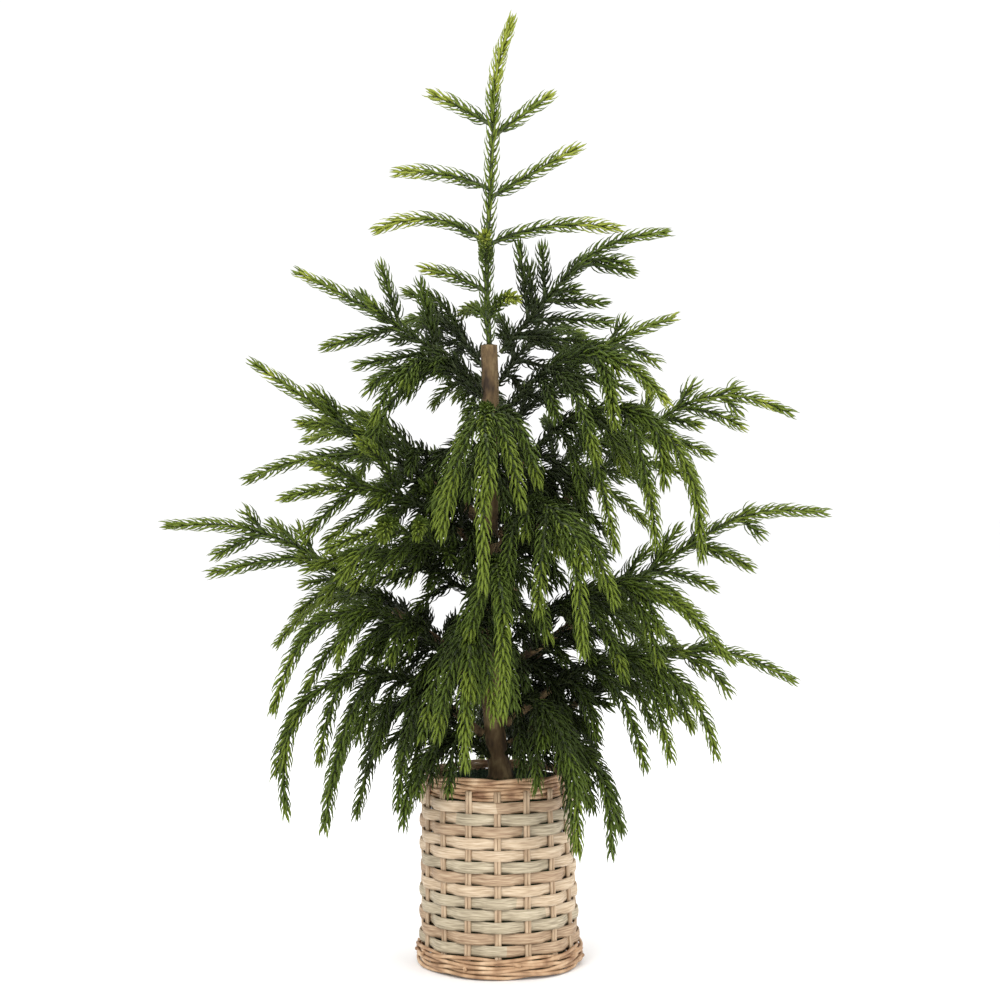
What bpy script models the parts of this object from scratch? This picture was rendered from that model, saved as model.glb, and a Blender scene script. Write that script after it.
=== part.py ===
# Artificial Norfolk pine, a table-top tree that stands in a woven willow basket.
# Metres, +Z up. The origin is the centre of the basket's flat underside and the tree's front faces -Y.
# Angles are in degrees, azimuths from +X towards +Y, and the tables give lengths in millimetres.

import math
import random
from collections import namedtuple

import bmesh
import bpy
from mathutils import Vector, noise

MM = 0.001
GAP = 0.3 * MM
UP = Vector((0.0, 0.0, 1.0))

# The basket
BASKET_HEIGHT = 134.0 * MM
BASKET_LEAN = 3.0 * MM  # how far the rim stands to the left of the foot
STAKES = 16
WEAVE_ROWS = 13
WALL_TOP_RADIUS = 51.0 * MM
WALL_FOOT_RADIUS = 53.6 * MM
WALL_THICKNESS = 5.0 * MM
WEAVE_RELIEF = 1.3 * MM  # how far a splint bows out over a stake, or in behind it
SPLINT_CROWN = 0.5 * MM
RIM_HEIGHT = 14.7 * MM
RIM_RADIUS = 50.0 * MM
RIM_THICKNESS = 5.5 * MM
RIM_RODS = 3
FOOT_HEIGHT = 15.0 * MM
FOOT_RADIUS = 57.6 * MM
FOOT_THICKNESS = 8.5 * MM
FOOT_RODS = 4
ROD_BULGE = 1.1 * MM
BASE_THICKNESS = 4.0 * MM
MOSS_TOP = 128.0 * MM
MOSS_EDGE_DROP = 3.0 * MM
MOSS_FLAT_RADIUS = 14.0 * MM
MOSS_BUMP = 2.0 * MM
MOSS_BUMPS_PER_METRE = 60.0
TURN_STEPS = 2 * STAKES
TURN_MERGE = 0.02 * MM
SMOOTH_UP_TO = 40.0  # an edge sharper than this stays sharp

# The trunk: height, sideways place and radius
TrunkPoint = namedtuple("TrunkPoint", "height x radius")
TRUNK = (
    TrunkPoint(128.3, 0.5, 10.0),
    TrunkPoint(131.0, 0.5, 8.6),
    TrunkPoint(142.0, -1.5, 7.4),
    TrunkPoint(190.0, -6.5, 7.0),
    TrunkPoint(247.0, -8.5, 6.8),
    TrunkPoint(310.0, -7.5, 6.4),
    TrunkPoint(362.0, -6.5, 6.1),
    TrunkPoint(431.0, -7.5, 5.6),
)
TRUNK_SIDES_RESOLUTION = 4

# The leader carries on from the trunk's tip, and ends in the top of the tree.
LEADER = (
    TrunkPoint(431.3, -7.5, 4.2),
    TrunkPoint(470.0, -9.5, 3.8),
    TrunkPoint(508.0, -8.5, 3.2),
    TrunkPoint(546.0, -6.5, 2.6),
    TrunkPoint(585.0, -4.5, 2.0),
    TrunkPoint(607.0, -5.0, 1.8),
    TrunkPoint(634.0, 0.0, 1.4),
    TrunkPoint(657.0, 8.0, 1.0),
)
LeaderTwig = namedtuple("LeaderTwig", "height azimuth pitch length sag")
LEADER_TWIGS = (
    LeaderTwig(584, 180, 33, 48, 0.10),
    LeaderTwig(577, 0, 36, 48, 0.00),
    LeaderTwig(540, 180, 25, 66, 0.25),
    LeaderTwig(534, 0, 30, 70, 0.00),
    LeaderTwig(502, 180, 38, 82, 0.50),
    LeaderTwig(501, 0, 25, 92, 0.30),
    LeaderTwig(484, 268, 40, 46, 0.30),
    LeaderTwig(484, 92, 40, 46, 0.30),
    LeaderTwig(468, 180, 32, 46, 0.20),
    LeaderTwig(464, 0, 26, 46, 0.20),
    LeaderTwig(448, 290, 34, 58, 0.40),
    LeaderTwig(448, 110, 34, 58, 0.40),
)

# The boughs. Each leaves the trunk at its height and azimuth, pitched up by rise, and bends from the
# share called bend until its tip is pitched by fall. Its side twigs stand in opposite pairs in a plane
# turned by roll, spread from the bough by spread and weighed down by sag. A pair gives its share of the
# bough's length and the lengths of its two twigs. The share called bare is the limb without needles;
# with none, the needles start at the trunk.
Bough = namedtuple("Bough", "name height azimuth rise fall bend length bare roll spread sag pairs")
BOUGHS = (
    Bough("crown_left", 398, 180, 37, 26, 0.10, 158, 0, 90, 44, 0.04,
          ((0.17, 0, 58), (0.30, 50, 56), (0.49, 44, 56))),
    Bough("crown_right", 417, 0, 49, 5, 0.45, 160, 0, 90, 46, 0.10,
          ((0.16, 0, 60), (0.26, 54, 56), (0.37, 38, 40), (0.60, 0, 34))),
    Bough("crown_front_left", 388, 218, 40, -66, 0.10, 126, 0, 50, 38, 0.8,
          ((0.45, 50, 76),)),
    Bough("crown_back_left", 410, 128, 40, -10, 0.30, 120, 0, 60, 45, 0.4,
          ((0.30, 45, 55), (0.55, 40, 45))),
    Bough("crown_back_right", 396, 52, 42, -10, 0.30, 130, 0, 60, 45, 0.4,
          ((0.30, 45, 55), (0.55, 40, 45))),
    Bough("upper_right", 362, 8, 43, 19, 0.30, 160, 0, 90, 38, 0.2,
          ((0.45, 26, 46), (0.70, 18, 34))),
    Bough("upper_front_right", 372, 322, 42, -44, 0.15, 172, 0, 40, 36, 1.0,
          ((0.36, 60, 96), (0.60, 50, 60))),
    Bough("upper_front", 326, 269, 45, -89, 0.05, 270, 0.16, 20, 38, 1.6,
          ((0.30, 80, 90), (0.50, 80, 86))),
    Bough("upper_back", 356, 92, 42, -30, 0.20, 160, 0, 50, 42, 0.8,
          ((0.35, 60, 66), (0.60, 46, 56))),
    Bough("middle_left", 307, 180, 34, 34, 0.30, 198, 0.25, 60, 28, 0.3,
          ((0.42, 30, 112), (0.62, 32, 26))),
    Bough("middle_front_left", 284, 212, 36, -12, 0.10, 170, 0.25, 60, 38, 0.3,
          ((0.48, 60, 60), (0.66, 50, 50))),
    Bough("waist_front_left", 258, 232, 34, -16, 0.10, 176, 0, 40, 36, 0.5,
          ((0.45, 60, 60), (0.62, 50, 50))),
    Bough("middle_right", 275, 0, 41, -24, 0.56, 255, 0.30, 90, 36, 0.3,
          ((0.45, 40, 56), (0.55, 30, 50), (0.68, 20, 44), (0.80, 14, 18))),
    Bough("middle_front_right", 312, 324, 50, -87, 0.12, 264, 0.18, 30, 30, 1.6,
          ((0.33, 90, 120), (0.52, 90, 100))),
    Bough("middle_front", 270, 292, 43, -85, 0.08, 236, 0.18, 25, 34, 1.4,
          ((0.33, 80, 90), (0.52, 80, 80))),
    Bough("middle_back_left", 300, 145, 38, -12, 0.35, 190, 0.25, 60, 40, 0.5,
          ((0.40, 60, 80), (0.60, 50, 60))),
    Bough("middle_back_right", 290, 40, 40, -12, 0.35, 200, 0.25, 60, 40, 0.5,
          ((0.40, 60, 80), (0.60, 50, 60))),
    Bough("lower_left", 200, 179, 34, -3, 0.50, 256, 0.32, 75, 36, 0.12,
          ((0.47, 22, 32), (0.58, 24, 70), (0.73, 20, 40))),
    Bough("lower_front_left", 186, 207, 40, -74, 0.25, 216, 0.22, 40, 34, 1.0,
          ((0.32, 66, 74), (0.46, 60, 76))),
    Bough("waist_left", 250, 196, 32, -20, 0.20, 138, 0, 40, 36, 0.5,
          ((0.35, 50, 66), (0.60, 40, 56))),
    Bough("waist_front", 240, 274, 42, -87, 0.05, 222, 0, 20, 36, 1.6,
          ((0.30, 84, 84), (0.50, 76, 76))),
    Bough("waist_front_right", 212, 330, 36, -50, 0.20, 212, 0, 40, 34, 1.0,
          ((0.35, 70, 90), (0.55, 60, 70))),
    Bough("lower_right", 197, 1, 34, -6, 0.62, 268, 0.32, 90, 34, 0.3,
          ((0.40, 40, 60), (0.50, 20, 46), (0.63, 16, 44), (0.77, 10, 20))),
    Bough("lower_front_right", 160, 336, 37, -74, 0.26, 212, 0.25, 30, 28, 1.6,
          ((0.38, 80, 90), (0.52, 80, 80))),
    Bough("lower_front", 215, 264, 36, -89, 0.05, 210, 0.18, 15, 34, 1.8,
          ((0.33, 84, 96), (0.52, 70, 76))),
    Bough("lower_back", 235, 96, 38, -40, 0.20, 215, 0, 40, 40, 1.0,
          ((0.35, 80, 90), (0.55, 70, 70))),
    Bough("lower_back_left", 190, 146, 34, -45, 0.30, 225, 0.25, 50, 38, 0.8,
          ((0.40, 76, 84), (0.58, 60, 70))),
    Bough("lower_back_right", 180, 42, 34, -45, 0.30, 225, 0.25, 50, 38, 0.8,
          ((0.40, 76, 84), (0.58, 60, 70))),
    Bough("bottom_left", 151, 199, 39, -96, 0.17, 236, 0.20, 20, 32, 2.4,
          ((0.24, 110, 120), (0.38, 130, 100))),
    Bough("bottom_front_left", 138, 226, 32, -82, 0.10, 128, 0, 30, 34, 1.5,
          ((0.35, 50, 66),)),
    Bough("bottom_right", 146, 4, 31, -30, 0.40, 232, 0.28, 80, 34, 0.5,
          ((0.40, 40, 60), (0.50, 26, 46), (0.66, 20, 42))),
    Bough("bottom_front_right", 142, 314, 26, -90, 0.10, 160, 0, 30, 30, 2.0,
          ((0.35, 84, 84),)),
    Bough("bottom_front", 176, 298, 22, -90, 0.00, 182, 0, 20, 28, 2.2,
          ((0.35, 84, 60),)),
    Bough("bottom_back", 156, 95, 28, -80, 0.15, 175, 0, 30, 36, 1.6,
          ((0.35, 80, 80),)),
    Bough("bottom_back_left", 142, 152, 32, -70, 0.20, 170, 0, 30, 36, 1.6,
          ((0.40, 70, 70),)),
    Bough("bottom_back_right", 141, 62, 32, -70, 0.20, 170, 0, 30, 36, 1.6,
          ((0.40, 70, 70),)),
)
BOUGH_STEPS = 16
BOUGH_POINTS = 5
BOUGH_ROOT_RADIUS = 3.0 * MM
BOUGH_END_RADIUS = 2.3 * MM
BOUGH_SIDES_RESOLUTION = 1

# The twigs and their needles. A twig is a three-sided rod whose corners climb it in a spiral. Between two
# corners of one side a needle is drawn out by its reach and leans forward; where it has too little room,
# a smaller one of NEEDLE_FITS is tried.
TWIG_STEPS = 8
FEWEST_CORNERS = 5
STEM_RADIUS = 2.2 * MM
TWIG_RADIUS = 1.8 * MM
TIP_RADIUS = 1.1 * MM
NEEDLE_STEP = 7.0 * MM
NEEDLE_REACH = 8.5 * MM
NEEDLE_TIP_REACH = 5.0 * MM
NEEDLE_LEAN = 9.0 * MM
NEEDLE_TAPER_START = 0.7  # the share of a twig from which its needles grow shorter
NEEDLE_ROOT_FIT = 0.75
CORNER_TURN = 125.0
BARE_ROOT = 7.0 * MM
NEEDLE_FITS = (1.0, 0.8, 0.6, 0.45, 0.3)
SHORTEST_TWIG = 22.0 * MM
SPREAD_JITTER = 4.0
LENGTH_JITTER = 0.06
ROLL_JITTER = 9.0

# The room that each limb and mass keeps to itself
CELL = 12.0 * MM
LIMB_SAMPLE = 1.5 * MM
TWIG_SAMPLE = 2.0 * MM
TWIG_CLEARANCE = 0.8 * MM
BASKET_CLEARANCE = 2.0 * MM


def clear_scene():
    for obj in list(bpy.data.objects):
        bpy.data.objects.remove(obj, do_unlink=True)


def new_collection(name):
    collection = bpy.data.collections.new(name)
    bpy.context.scene.collection.children.link(collection)
    return collection


def material(name, colour, roughness, metallic=0.0):
    made = bpy.data.materials.new(name)
    made.use_nodes = True
    shader = made.node_tree.nodes["Principled BSDF"]
    shader.inputs["Base Color"].default_value = (*colour, 1.0)
    shader.inputs["Roughness"].default_value = roughness
    shader.inputs["Metallic"].default_value = metallic
    made.diffuse_color = (*colour, 1.0)
    return made


def new_object(name, data, collection, parent, finish, location=(0.0, 0.0, 0.0)):
    obj = bpy.data.objects.new(name, data)
    data.materials.clear()
    data.materials.append(finish)
    collection.objects.link(obj)
    obj.parent = parent
    obj.location = location
    return obj


def evaluated_mesh(obj):
    graph = bpy.context.evaluated_depsgraph_get()
    graph.update()
    return bpy.data.meshes.new_from_object(obj.evaluated_get(graph))


def bake_modifiers(obj):
    mesh = evaluated_mesh(obj)
    obj.modifiers.clear()
    obj.data = mesh


def smooth_step(share):
    share = min(max(share, 0.0), 1.0)
    return share * share * (3.0 - 2.0 * share)


def heading(azimuth, pitch):
    azimuth = math.radians(azimuth)
    pitch = math.radians(pitch)
    level = math.cos(pitch)
    return Vector((math.cos(azimuth) * level, math.sin(azimuth) * level, math.sin(pitch)))


def stem_points(points):
    return [Vector((point.x * MM, 0.0, point.height * MM)) for point in points]


def on_stem(points, height):
    """The centre and radius of the trunk or leader at a height."""
    for low, high in zip(points, points[1:]):
        if height <= high.height * MM:
            break
    share = (height / MM - low.height) / (high.height - low.height)
    share = min(max(share, 0.0), 1.0)
    x = low.x + share * (high.x - low.x)
    radius = low.radius + share * (high.radius - low.radius)
    return Vector((x * MM, 0.0, height)), radius * MM


def bough_line(bough):
    """The bough's centre line from inside the trunk to its tip, in equal steps."""
    point, _ = on_stem(TRUNK, bough.height * MM)
    line = [point.copy()]
    for index in range(BOUGH_STEPS):
        share = (index + 0.5) / BOUGH_STEPS
        bent = smooth_step((share - bough.bend) / (1.0 - bough.bend))
        pitch = bough.rise + (bough.fall - bough.rise) * bent
        point = point + heading(bough.azimuth, pitch) * (bough.length * MM / BOUGH_STEPS)
        line.append(point)
    return line


def drooping_line(root, direction, length, sag):
    """A twig's centre line, which leaves along direction and is bent down by its weight."""
    point = root.copy()
    line = [point.copy()]
    for index in range(TWIG_STEPS):
        share = (index + 0.5) / TWIG_STEPS
        bent = (direction - UP * (2.0 * sag * share)).normalized()
        point = point + bent * (length / TWIG_STEPS)
        line.append(point)
    return line


def line_length(line):
    return sum((b - a).length for a, b in zip(line, line[1:]))


def on_line(line, share):
    """The point and direction at a share of an evenly stepped line."""
    place = min(max(share, 0.0), 1.0) * (len(line) - 1)
    index = min(int(place), len(line) - 2)
    run = line[index + 1] - line[index]
    return line[index] + run * (place - index), run.normalized()


def part_of_line(line, start, end, steps):
    return [on_line(line, start + (end - start) * index / steps)[0] for index in range(steps + 1)]


def twig_lines(bough, line):
    """The side twigs of a bough: opposite pairs in its rolled plane."""
    chance = random.Random(bough.name)
    level = heading(bough.azimuth + 90.0, 0.0)
    twigs = []
    for share, *lengths in bough.pairs:
        root, along = on_line(line, share)
        over = along.cross(level)
        roll = math.radians(bough.roll + chance.uniform(-ROLL_JITTER, ROLL_JITTER))
        out = level * math.cos(roll) + over * math.sin(roll)
        for side, length in zip((1.0, -1.0), lengths):
            spread = math.radians(bough.spread + chance.uniform(-SPREAD_JITTER, SPREAD_JITTER))
            size = length * MM * (1.0 + chance.uniform(-LENGTH_JITTER, LENGTH_JITTER))
            direction = along * math.cos(spread) + out * (side * math.sin(spread))
            if length:
                twigs.append(drooping_line(root, direction, size, bough.sag))
    return twigs


def leader_twig_lines():
    twigs = []
    for twig in LEADER_TWIGS:
        root, _ = on_stem(LEADER, twig.height * MM)
        direction = heading(twig.azimuth, twig.pitch)
        twigs.append(drooping_line(root, direction, twig.length * MM, twig.sag))
    return twigs


class Space:
    """The room that limbs and twigs take, kept in cubic cells so that neighbours are found quickly."""

    def __init__(self):
        self.cells = {}

    def cell(self, point):
        return tuple(math.floor(value / CELL) for value in point)

    def add_line(self, line, radius, owner, limb=False):
        steps = max(2, round(line_length(line) / LIMB_SAMPLE))
        for index in range(steps + 1):
            point, _ = on_line(line, index / steps)
            self.cells.setdefault(self.cell(point), []).append((point, radius, owner, limb))

    def near(self, point):
        x, y, z = self.cell(point)
        for across in (-1, 0, 1):
            for deep in (-1, 0, 1):
                for high in (-1, 0, 1):
                    yield from self.cells.get((x + across, y + deep, z + high), ())

    def clear_of_basket(self, point, margin):
        if point.z > BASKET_HEIGHT + margin:
            return True
        return math.hypot(point.x, point.y) > FOOT_RADIUS + ROD_BULGE + margin

    def holds_core(self, point, radius, owner, own_limb):
        """Whether a twig's core fits here beside the limbs and every other mass."""
        for other, other_radius, other_owner, _ in self.near(point):
            if other_owner in (owner, own_limb):
                continue
            if (other - point).length < radius + other_radius + TWIG_CLEARANCE:
                return False
        return self.clear_of_basket(point, radius + BASKET_CLEARANCE)

    def holds_needle(self, tip, from_core, owner):
        """Whether a needle's tip is nearer its own twig than any other mass, and off the limbs."""
        for other, other_radius, other_owner, limb in self.near(tip):
            if other_owner == owner:
                continue
            away = (other - tip).length
            if limb and away < other_radius + TWIG_CLEARANCE:
                return False
            if not limb and away < from_core + TWIG_CLEARANCE:
                return False
        return self.clear_of_basket(tip, TWIG_CLEARANCE)

    def fitted(self, line, radius, owner, own_limb):
        """The line as far as it stays in free room, or nothing where that is too short."""
        length = line_length(line)
        steps = max(2, round(length / TWIG_SAMPLE))
        for index in range(steps + 1):
            point, _ = on_line(line, index / steps)
            if not self.holds_core(point, radius, owner, own_limb):
                break
        else:
            return line
        share = (index - 2) / steps
        if share * length < SHORTEST_TWIG:
            return None
        return part_of_line(line, 0.0, share, TWIG_STEPS)


def side_vectors(line):
    """For each point of a line, two directions square to it that don't twist along the way."""
    along = on_line(line, 0.0)[1]
    side = along.orthogonal().normalized()
    found = []
    for index in range(len(line)):
        step_along = on_line(line, index / (len(line) - 1))[1]
        side = (side - step_along * side.dot(step_along)).normalized()
        found.append((step_along, side, step_along.cross(side)))
    return found


def needle_reach(share):
    """How far a needle stands out: fullest along the middle, shorter at both ends."""
    if share > NEEDLE_TAPER_START:
        taper = (share - NEEDLE_TAPER_START) / (1.0 - NEEDLE_TAPER_START)
        return NEEDLE_REACH + (NEEDLE_TIP_REACH - NEEDLE_REACH) * taper
    return NEEDLE_REACH * min(1.0, NEEDLE_ROOT_FIT + share)


def drawn_out(space, owner, centre, out, along, share):
    """The tip of one needle, as long as its room allows, or None."""
    for fit in NEEDLE_FITS:
        reach = needle_reach(share) * fit
        tip = centre + out * reach + along * (NEEDLE_LEAN * fit)
        if space.holds_needle(tip, reach, owner):
            return tip
    return None


def needle_twig_mesh(name, line, root_radius, space, owner, origin):
    """A three-sided rod whose corners climb in a spiral, with a needle drawn out between every two
    corners of the same side."""
    length = line_length(line)
    steps = max(FEWEST_CORNERS, round(length / NEEDLE_STEP))
    stepped = part_of_line(line, 0.0, 1.0, steps)
    vectors = side_vectors(stepped)
    mesh = bmesh.new()
    corners = []
    outs = []
    for index in range(steps):
        place = max(index - 2, 0) if index < 3 else index
        share = place / steps
        along, side, over = vectors[place]
        radius = root_radius + (TIP_RADIUS - root_radius) * share
        angle = math.radians(CORNER_TURN) * index
        outs.append(side * math.cos(angle) + over * math.sin(angle))
        corners.append(mesh.verts.new(stepped[place] + outs[-1] * radius - origin))
    tip = mesh.verts.new(stepped[-1] - origin)
    mesh.faces.new((corners[0], corners[2], corners[1]))
    for index, (low, left, right, high) in enumerate(zip(corners, corners[1:], corners[2:], corners[3:])):
        place = index + 2
        share = place / steps
        needle = None
        if share * length > BARE_ROOT:
            needle = drawn_out(space, owner, stepped[place], outs[index], vectors[place][0], share)
        if needle:
            point = mesh.verts.new(needle - origin)
            rim = (low, left, high, right)
            for first, second in zip(rim, rim[1:] + rim[:1]):
                mesh.faces.new((first, second, point))
        else:
            mesh.faces.new((low, left, high))
            mesh.faces.new((low, high, right))
    for first, second in ((-3, -2), (-2, -1), (-1, -3)):
        mesh.faces.new((corners[first], corners[second], tip))
    bmesh.ops.recalc_face_normals(mesh, faces=mesh.faces[:])
    data = bpy.data.meshes.new(name)
    mesh.to_mesh(data)
    mesh.free()
    return data


def islands(mesh):
    """The separate shells of a bmesh, as lists of faces."""
    left = set(mesh.faces)
    found = []
    while left:
        shell = [left.pop()]
        for face in shell:
            for edge in face.edges:
                for other in edge.link_faces:
                    if other in left:
                        left.remove(other)
                        shell.append(other)
        found.append(shell)
    return found


def shell_volume(shell):
    volume = 0.0
    for face in shell:
        first, *others = [loop.vert.co for loop in face.loops]
        for second, third in zip(others, others[1:]):
            volume += first.dot(second.cross(third)) / 6.0
    return volume


def keep_main_shell(data):
    """Drops the loose scraps and fills the sealed hollows that a union leaves."""
    mesh = bmesh.new()
    mesh.from_mesh(data)
    shells = sorted(islands(mesh), key=shell_volume)
    extra = [face for shell in shells[:-1] for face in shell]
    bmesh.ops.delete(mesh, geom=extra, context="FACES")
    bmesh.ops.triangulate(mesh, faces=mesh.faces[:])
    mesh.to_mesh(data)
    mesh.free()


def join_twigs(obj, twigs):
    """Fuses the side twigs into the stem and removes them."""
    if not twigs:
        return
    joined = new_collection(obj.name + "_twigs")
    for twig in twigs:
        joined.objects.link(twig)
    union = obj.modifiers.new("twigs", "BOOLEAN")
    union.operation = "UNION"
    union.solver = "MANIFOLD"
    union.operand_type = "COLLECTION"
    union.collection = joined
    bake_modifiers(obj)
    keep_main_shell(obj.data)
    for twig in twigs:
        bpy.data.objects.remove(twig, do_unlink=True)
    bpy.data.collections.remove(joined)


def foliage(name, lines, root_radius, space, collection, parent, finish):
    """One mass: a stem, the first line, with the side twigs fused to it."""
    origin = lines[0][0]
    rods = []
    for index, line in enumerate(lines):
        radius = root_radius if index == 0 else TWIG_RADIUS
        data = needle_twig_mesh(name, line, radius, space, name, origin)
        rod_name = f"{name}_{index}" if index else name
        rods.append(new_object(rod_name, data, collection, parent, finish, origin))
    for rod in rods[1:]:
        collection.objects.unlink(rod)
    join_twigs(rods[0], rods[1:])
    return rods[0]


def limb(name, line, radii, resolution, collection, parent, finish):
    """One tapering limb, a smooth tube with flat ends."""
    curve = bpy.data.curves.new(name, "CURVE")
    curve.dimensions = "3D"
    curve.bevel_depth = 1.0
    curve.bevel_resolution = resolution
    curve.use_fill_caps = True
    spline = curve.splines.new("POLY")
    spline.use_smooth = True
    spline.points.add(len(line) - 1)
    for point, centre, radius in zip(spline.points, line, radii):
        point.co = (*(centre - line[0]), 1.0)
        point.radius = radius
    return new_object(name, curve, collection, parent, finish, line[0])


def trunk(collection, parent, finish):
    line = stem_points(TRUNK)
    radii = [point.radius * MM for point in TRUNK]
    return limb("trunk", line, radii, TRUNK_SIDES_RESOLUTION, collection, parent, finish)


def off_trunk(point):
    """How far a point is from the trunk's surface, measured level."""
    centre, radius = on_stem(TRUNK, point.z)
    return math.hypot(point.x - centre.x, point.y - centre.y) - radius


def start_clear_of_trunk(line, radius):
    """The share of the line at which a flat end of this radius stands just clear of the trunk."""
    length = line_length(line)
    share = 0.0
    while True:
        centre, along = on_line(line, share)
        over = along.cross(UP).normalized().cross(along) * radius
        if min(off_trunk(centre + over), off_trunk(centre - over)) > GAP:
            return share
        share += 0.5 * GAP / length


def bough_limb(bough, line, collection, parent, finish):
    start = start_clear_of_trunk(line, BOUGH_ROOT_RADIUS)
    centres = part_of_line(line, start, bough.bare, BOUGH_POINTS - 1)
    step = (BOUGH_END_RADIUS - BOUGH_ROOT_RADIUS) / (BOUGH_POINTS - 1)
    radii = [BOUGH_ROOT_RADIUS + step * index for index in range(BOUGH_POINTS)]
    limb("bough_" + bough.name, centres, radii, BOUGH_SIDES_RESOLUTION, collection, parent, finish)
    return centres


def stem_line(bough, line):
    """The part of the bough that carries needles, up to its tip."""
    if bough.bare:
        start = bough.bare + GAP / (bough.length * MM)
    else:
        start = start_clear_of_trunk(line, STEM_RADIUS)
    return part_of_line(line, start, 1.0, BOUGH_STEPS)


def tree(collection, parent, bark, needles):
    space = Space()
    trunk(collection, parent, bark)
    for low, high in zip(TRUNK, TRUNK[1:]):
        space.add_line(stem_points((low, high)), max(low.radius, high.radius) * MM, "trunk", limb=True)
    lines = {bough.name: bough_line(bough) for bough in BOUGHS}
    masses = {}
    for bough in BOUGHS:
        if bough.bare:
            centres = bough_limb(bough, lines[bough.name], collection, parent, bark)
            space.add_line(centres, BOUGH_ROOT_RADIUS, "bough_" + bough.name, limb=True)
    for bough in BOUGHS:
        stem = stem_line(bough, lines[bough.name])
        masses[bough.name] = [stem]
        space.add_line(stem, STEM_RADIUS, "foliage_" + bough.name)
    leader = stem_points(LEADER)
    space.add_line(leader, LEADER[0].radius * MM, "foliage_leader")
    masses["leader"] = [leader]
    twigs = {bough.name: twig_lines(bough, lines[bough.name]) for bough in BOUGHS}
    twigs["leader"] = leader_twig_lines()
    for name, found in twigs.items():
        for twig in found:
            fitted = space.fitted(twig, TWIG_RADIUS, "foliage_" + name, "bough_" + name)
            if fitted:
                masses[name].append(fitted)
                space.add_line(fitted, TWIG_RADIUS, "foliage_" + name)
    for name, found in masses.items():
        radius = LEADER[0].radius * MM if name == "leader" else STEM_RADIUS
        foliage("foliage_" + name, found, radius, space, collection, parent, needles)


def turned(name, profile, collection, parent, finish):
    """A shape turned about Z from a closed profile at +X whose outer side runs from top to bottom."""
    data = bpy.data.meshes.new(name)
    points = [(radius, 0.0, height) for radius, height in profile]
    on_axis = profile[0][0] == 0.0 and profile[-1][0] == 0.0
    ends = len(points) - 1 if on_axis else len(points)
    edges = [(index, (index + 1) % len(points)) for index in range(ends)]
    data.from_pydata(points, edges, [])
    obj = new_object(name, data, collection, parent, finish)
    screw = obj.modifiers.new("turn", "SCREW")
    screw.axis = "Z"
    screw.steps = TURN_STEPS
    screw.render_steps = TURN_STEPS
    screw.use_merge_vertices = True
    screw.merge_threshold = TURN_MERGE
    bake_modifiers(obj)
    obj.data.shade_smooth()
    obj.data.set_sharp_from_angle(angle=math.radians(SMOOTH_UP_TO))
    return obj


def lean(obj):
    """Leans the basket a little to the left, more the higher a point is."""
    for vertex in obj.data.vertices:
        vertex.co.x -= BASKET_LEAN * vertex.co.z / BASKET_HEIGHT


def rod_border(name, low, high, radius, thickness, rods, collection, parent, finish):
    """A border of rods laid round on top of each other, seen as beads on its outer side."""
    height = (high - low) / rods
    profile = []
    for rod in range(rods):
        top = high - rod * height
        profile += [(radius - ROD_BULGE, top), (radius, top - 0.5 * height)]
    profile += [(radius - ROD_BULGE, low), (radius - thickness, low), (radius - thickness, high)]
    border = turned(name, profile, collection, parent, finish)
    lean(border)
    return border


def wall_radius(height):
    share = (height - FOOT_HEIGHT) / (BASKET_HEIGHT - RIM_HEIGHT - FOOT_HEIGHT)
    return WALL_FOOT_RADIUS + (WALL_TOP_RADIUS - WALL_FOOT_RADIUS) * share


def weave(obj, low, high):
    """Bows each row of splints out over every second stake and in behind the stakes between."""
    for vertex in obj.data.vertices:
        across = math.hypot(vertex.co.x, vertex.co.y)
        if across < wall_radius(vertex.co.z) - 0.5 * WALL_THICKNESS:
            continue
        if not low + GAP < vertex.co.z < high - GAP:
            continue
        row = int(WEAVE_ROWS * (vertex.co.z - low) / (high - low))
        stake = math.atan2(vertex.co.y, vertex.co.x) / math.tau * STAKES
        bow = WEAVE_RELIEF * math.cos(math.pi * stake) * (-1.0) ** row
        vertex.co.x *= 1.0 + bow / across
        vertex.co.y *= 1.0 + bow / across


def basket_wall(collection, parent, finish):
    """The woven wall: a turned shell, one bead for each row of splints."""
    low = FOOT_HEIGHT + GAP
    high = BASKET_HEIGHT - RIM_HEIGHT - GAP
    row_height = (high - low) / WEAVE_ROWS
    profile = [(wall_radius(high), high)]
    for row in reversed(range(WEAVE_ROWS)):
        height = low + (row + 0.5) * row_height
        profile.append((wall_radius(height) + SPLINT_CROWN, height))
    profile.append((wall_radius(low), low))
    profile += [(wall_radius(low) - WALL_THICKNESS, low), (wall_radius(high) - WALL_THICKNESS, high)]
    wall = turned("basket_wall", profile, collection, parent, finish)
    weave(wall, low, high)
    lean(wall)
    return wall


def basket_base(collection, parent, finish):
    radius = FOOT_RADIUS - FOOT_THICKNESS - GAP
    profile = [(0.0, BASE_THICKNESS), (radius, BASE_THICKNESS), (radius, 0.0), (0.0, 0.0)]
    return turned("basket_base", profile, collection, parent, finish)


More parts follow.
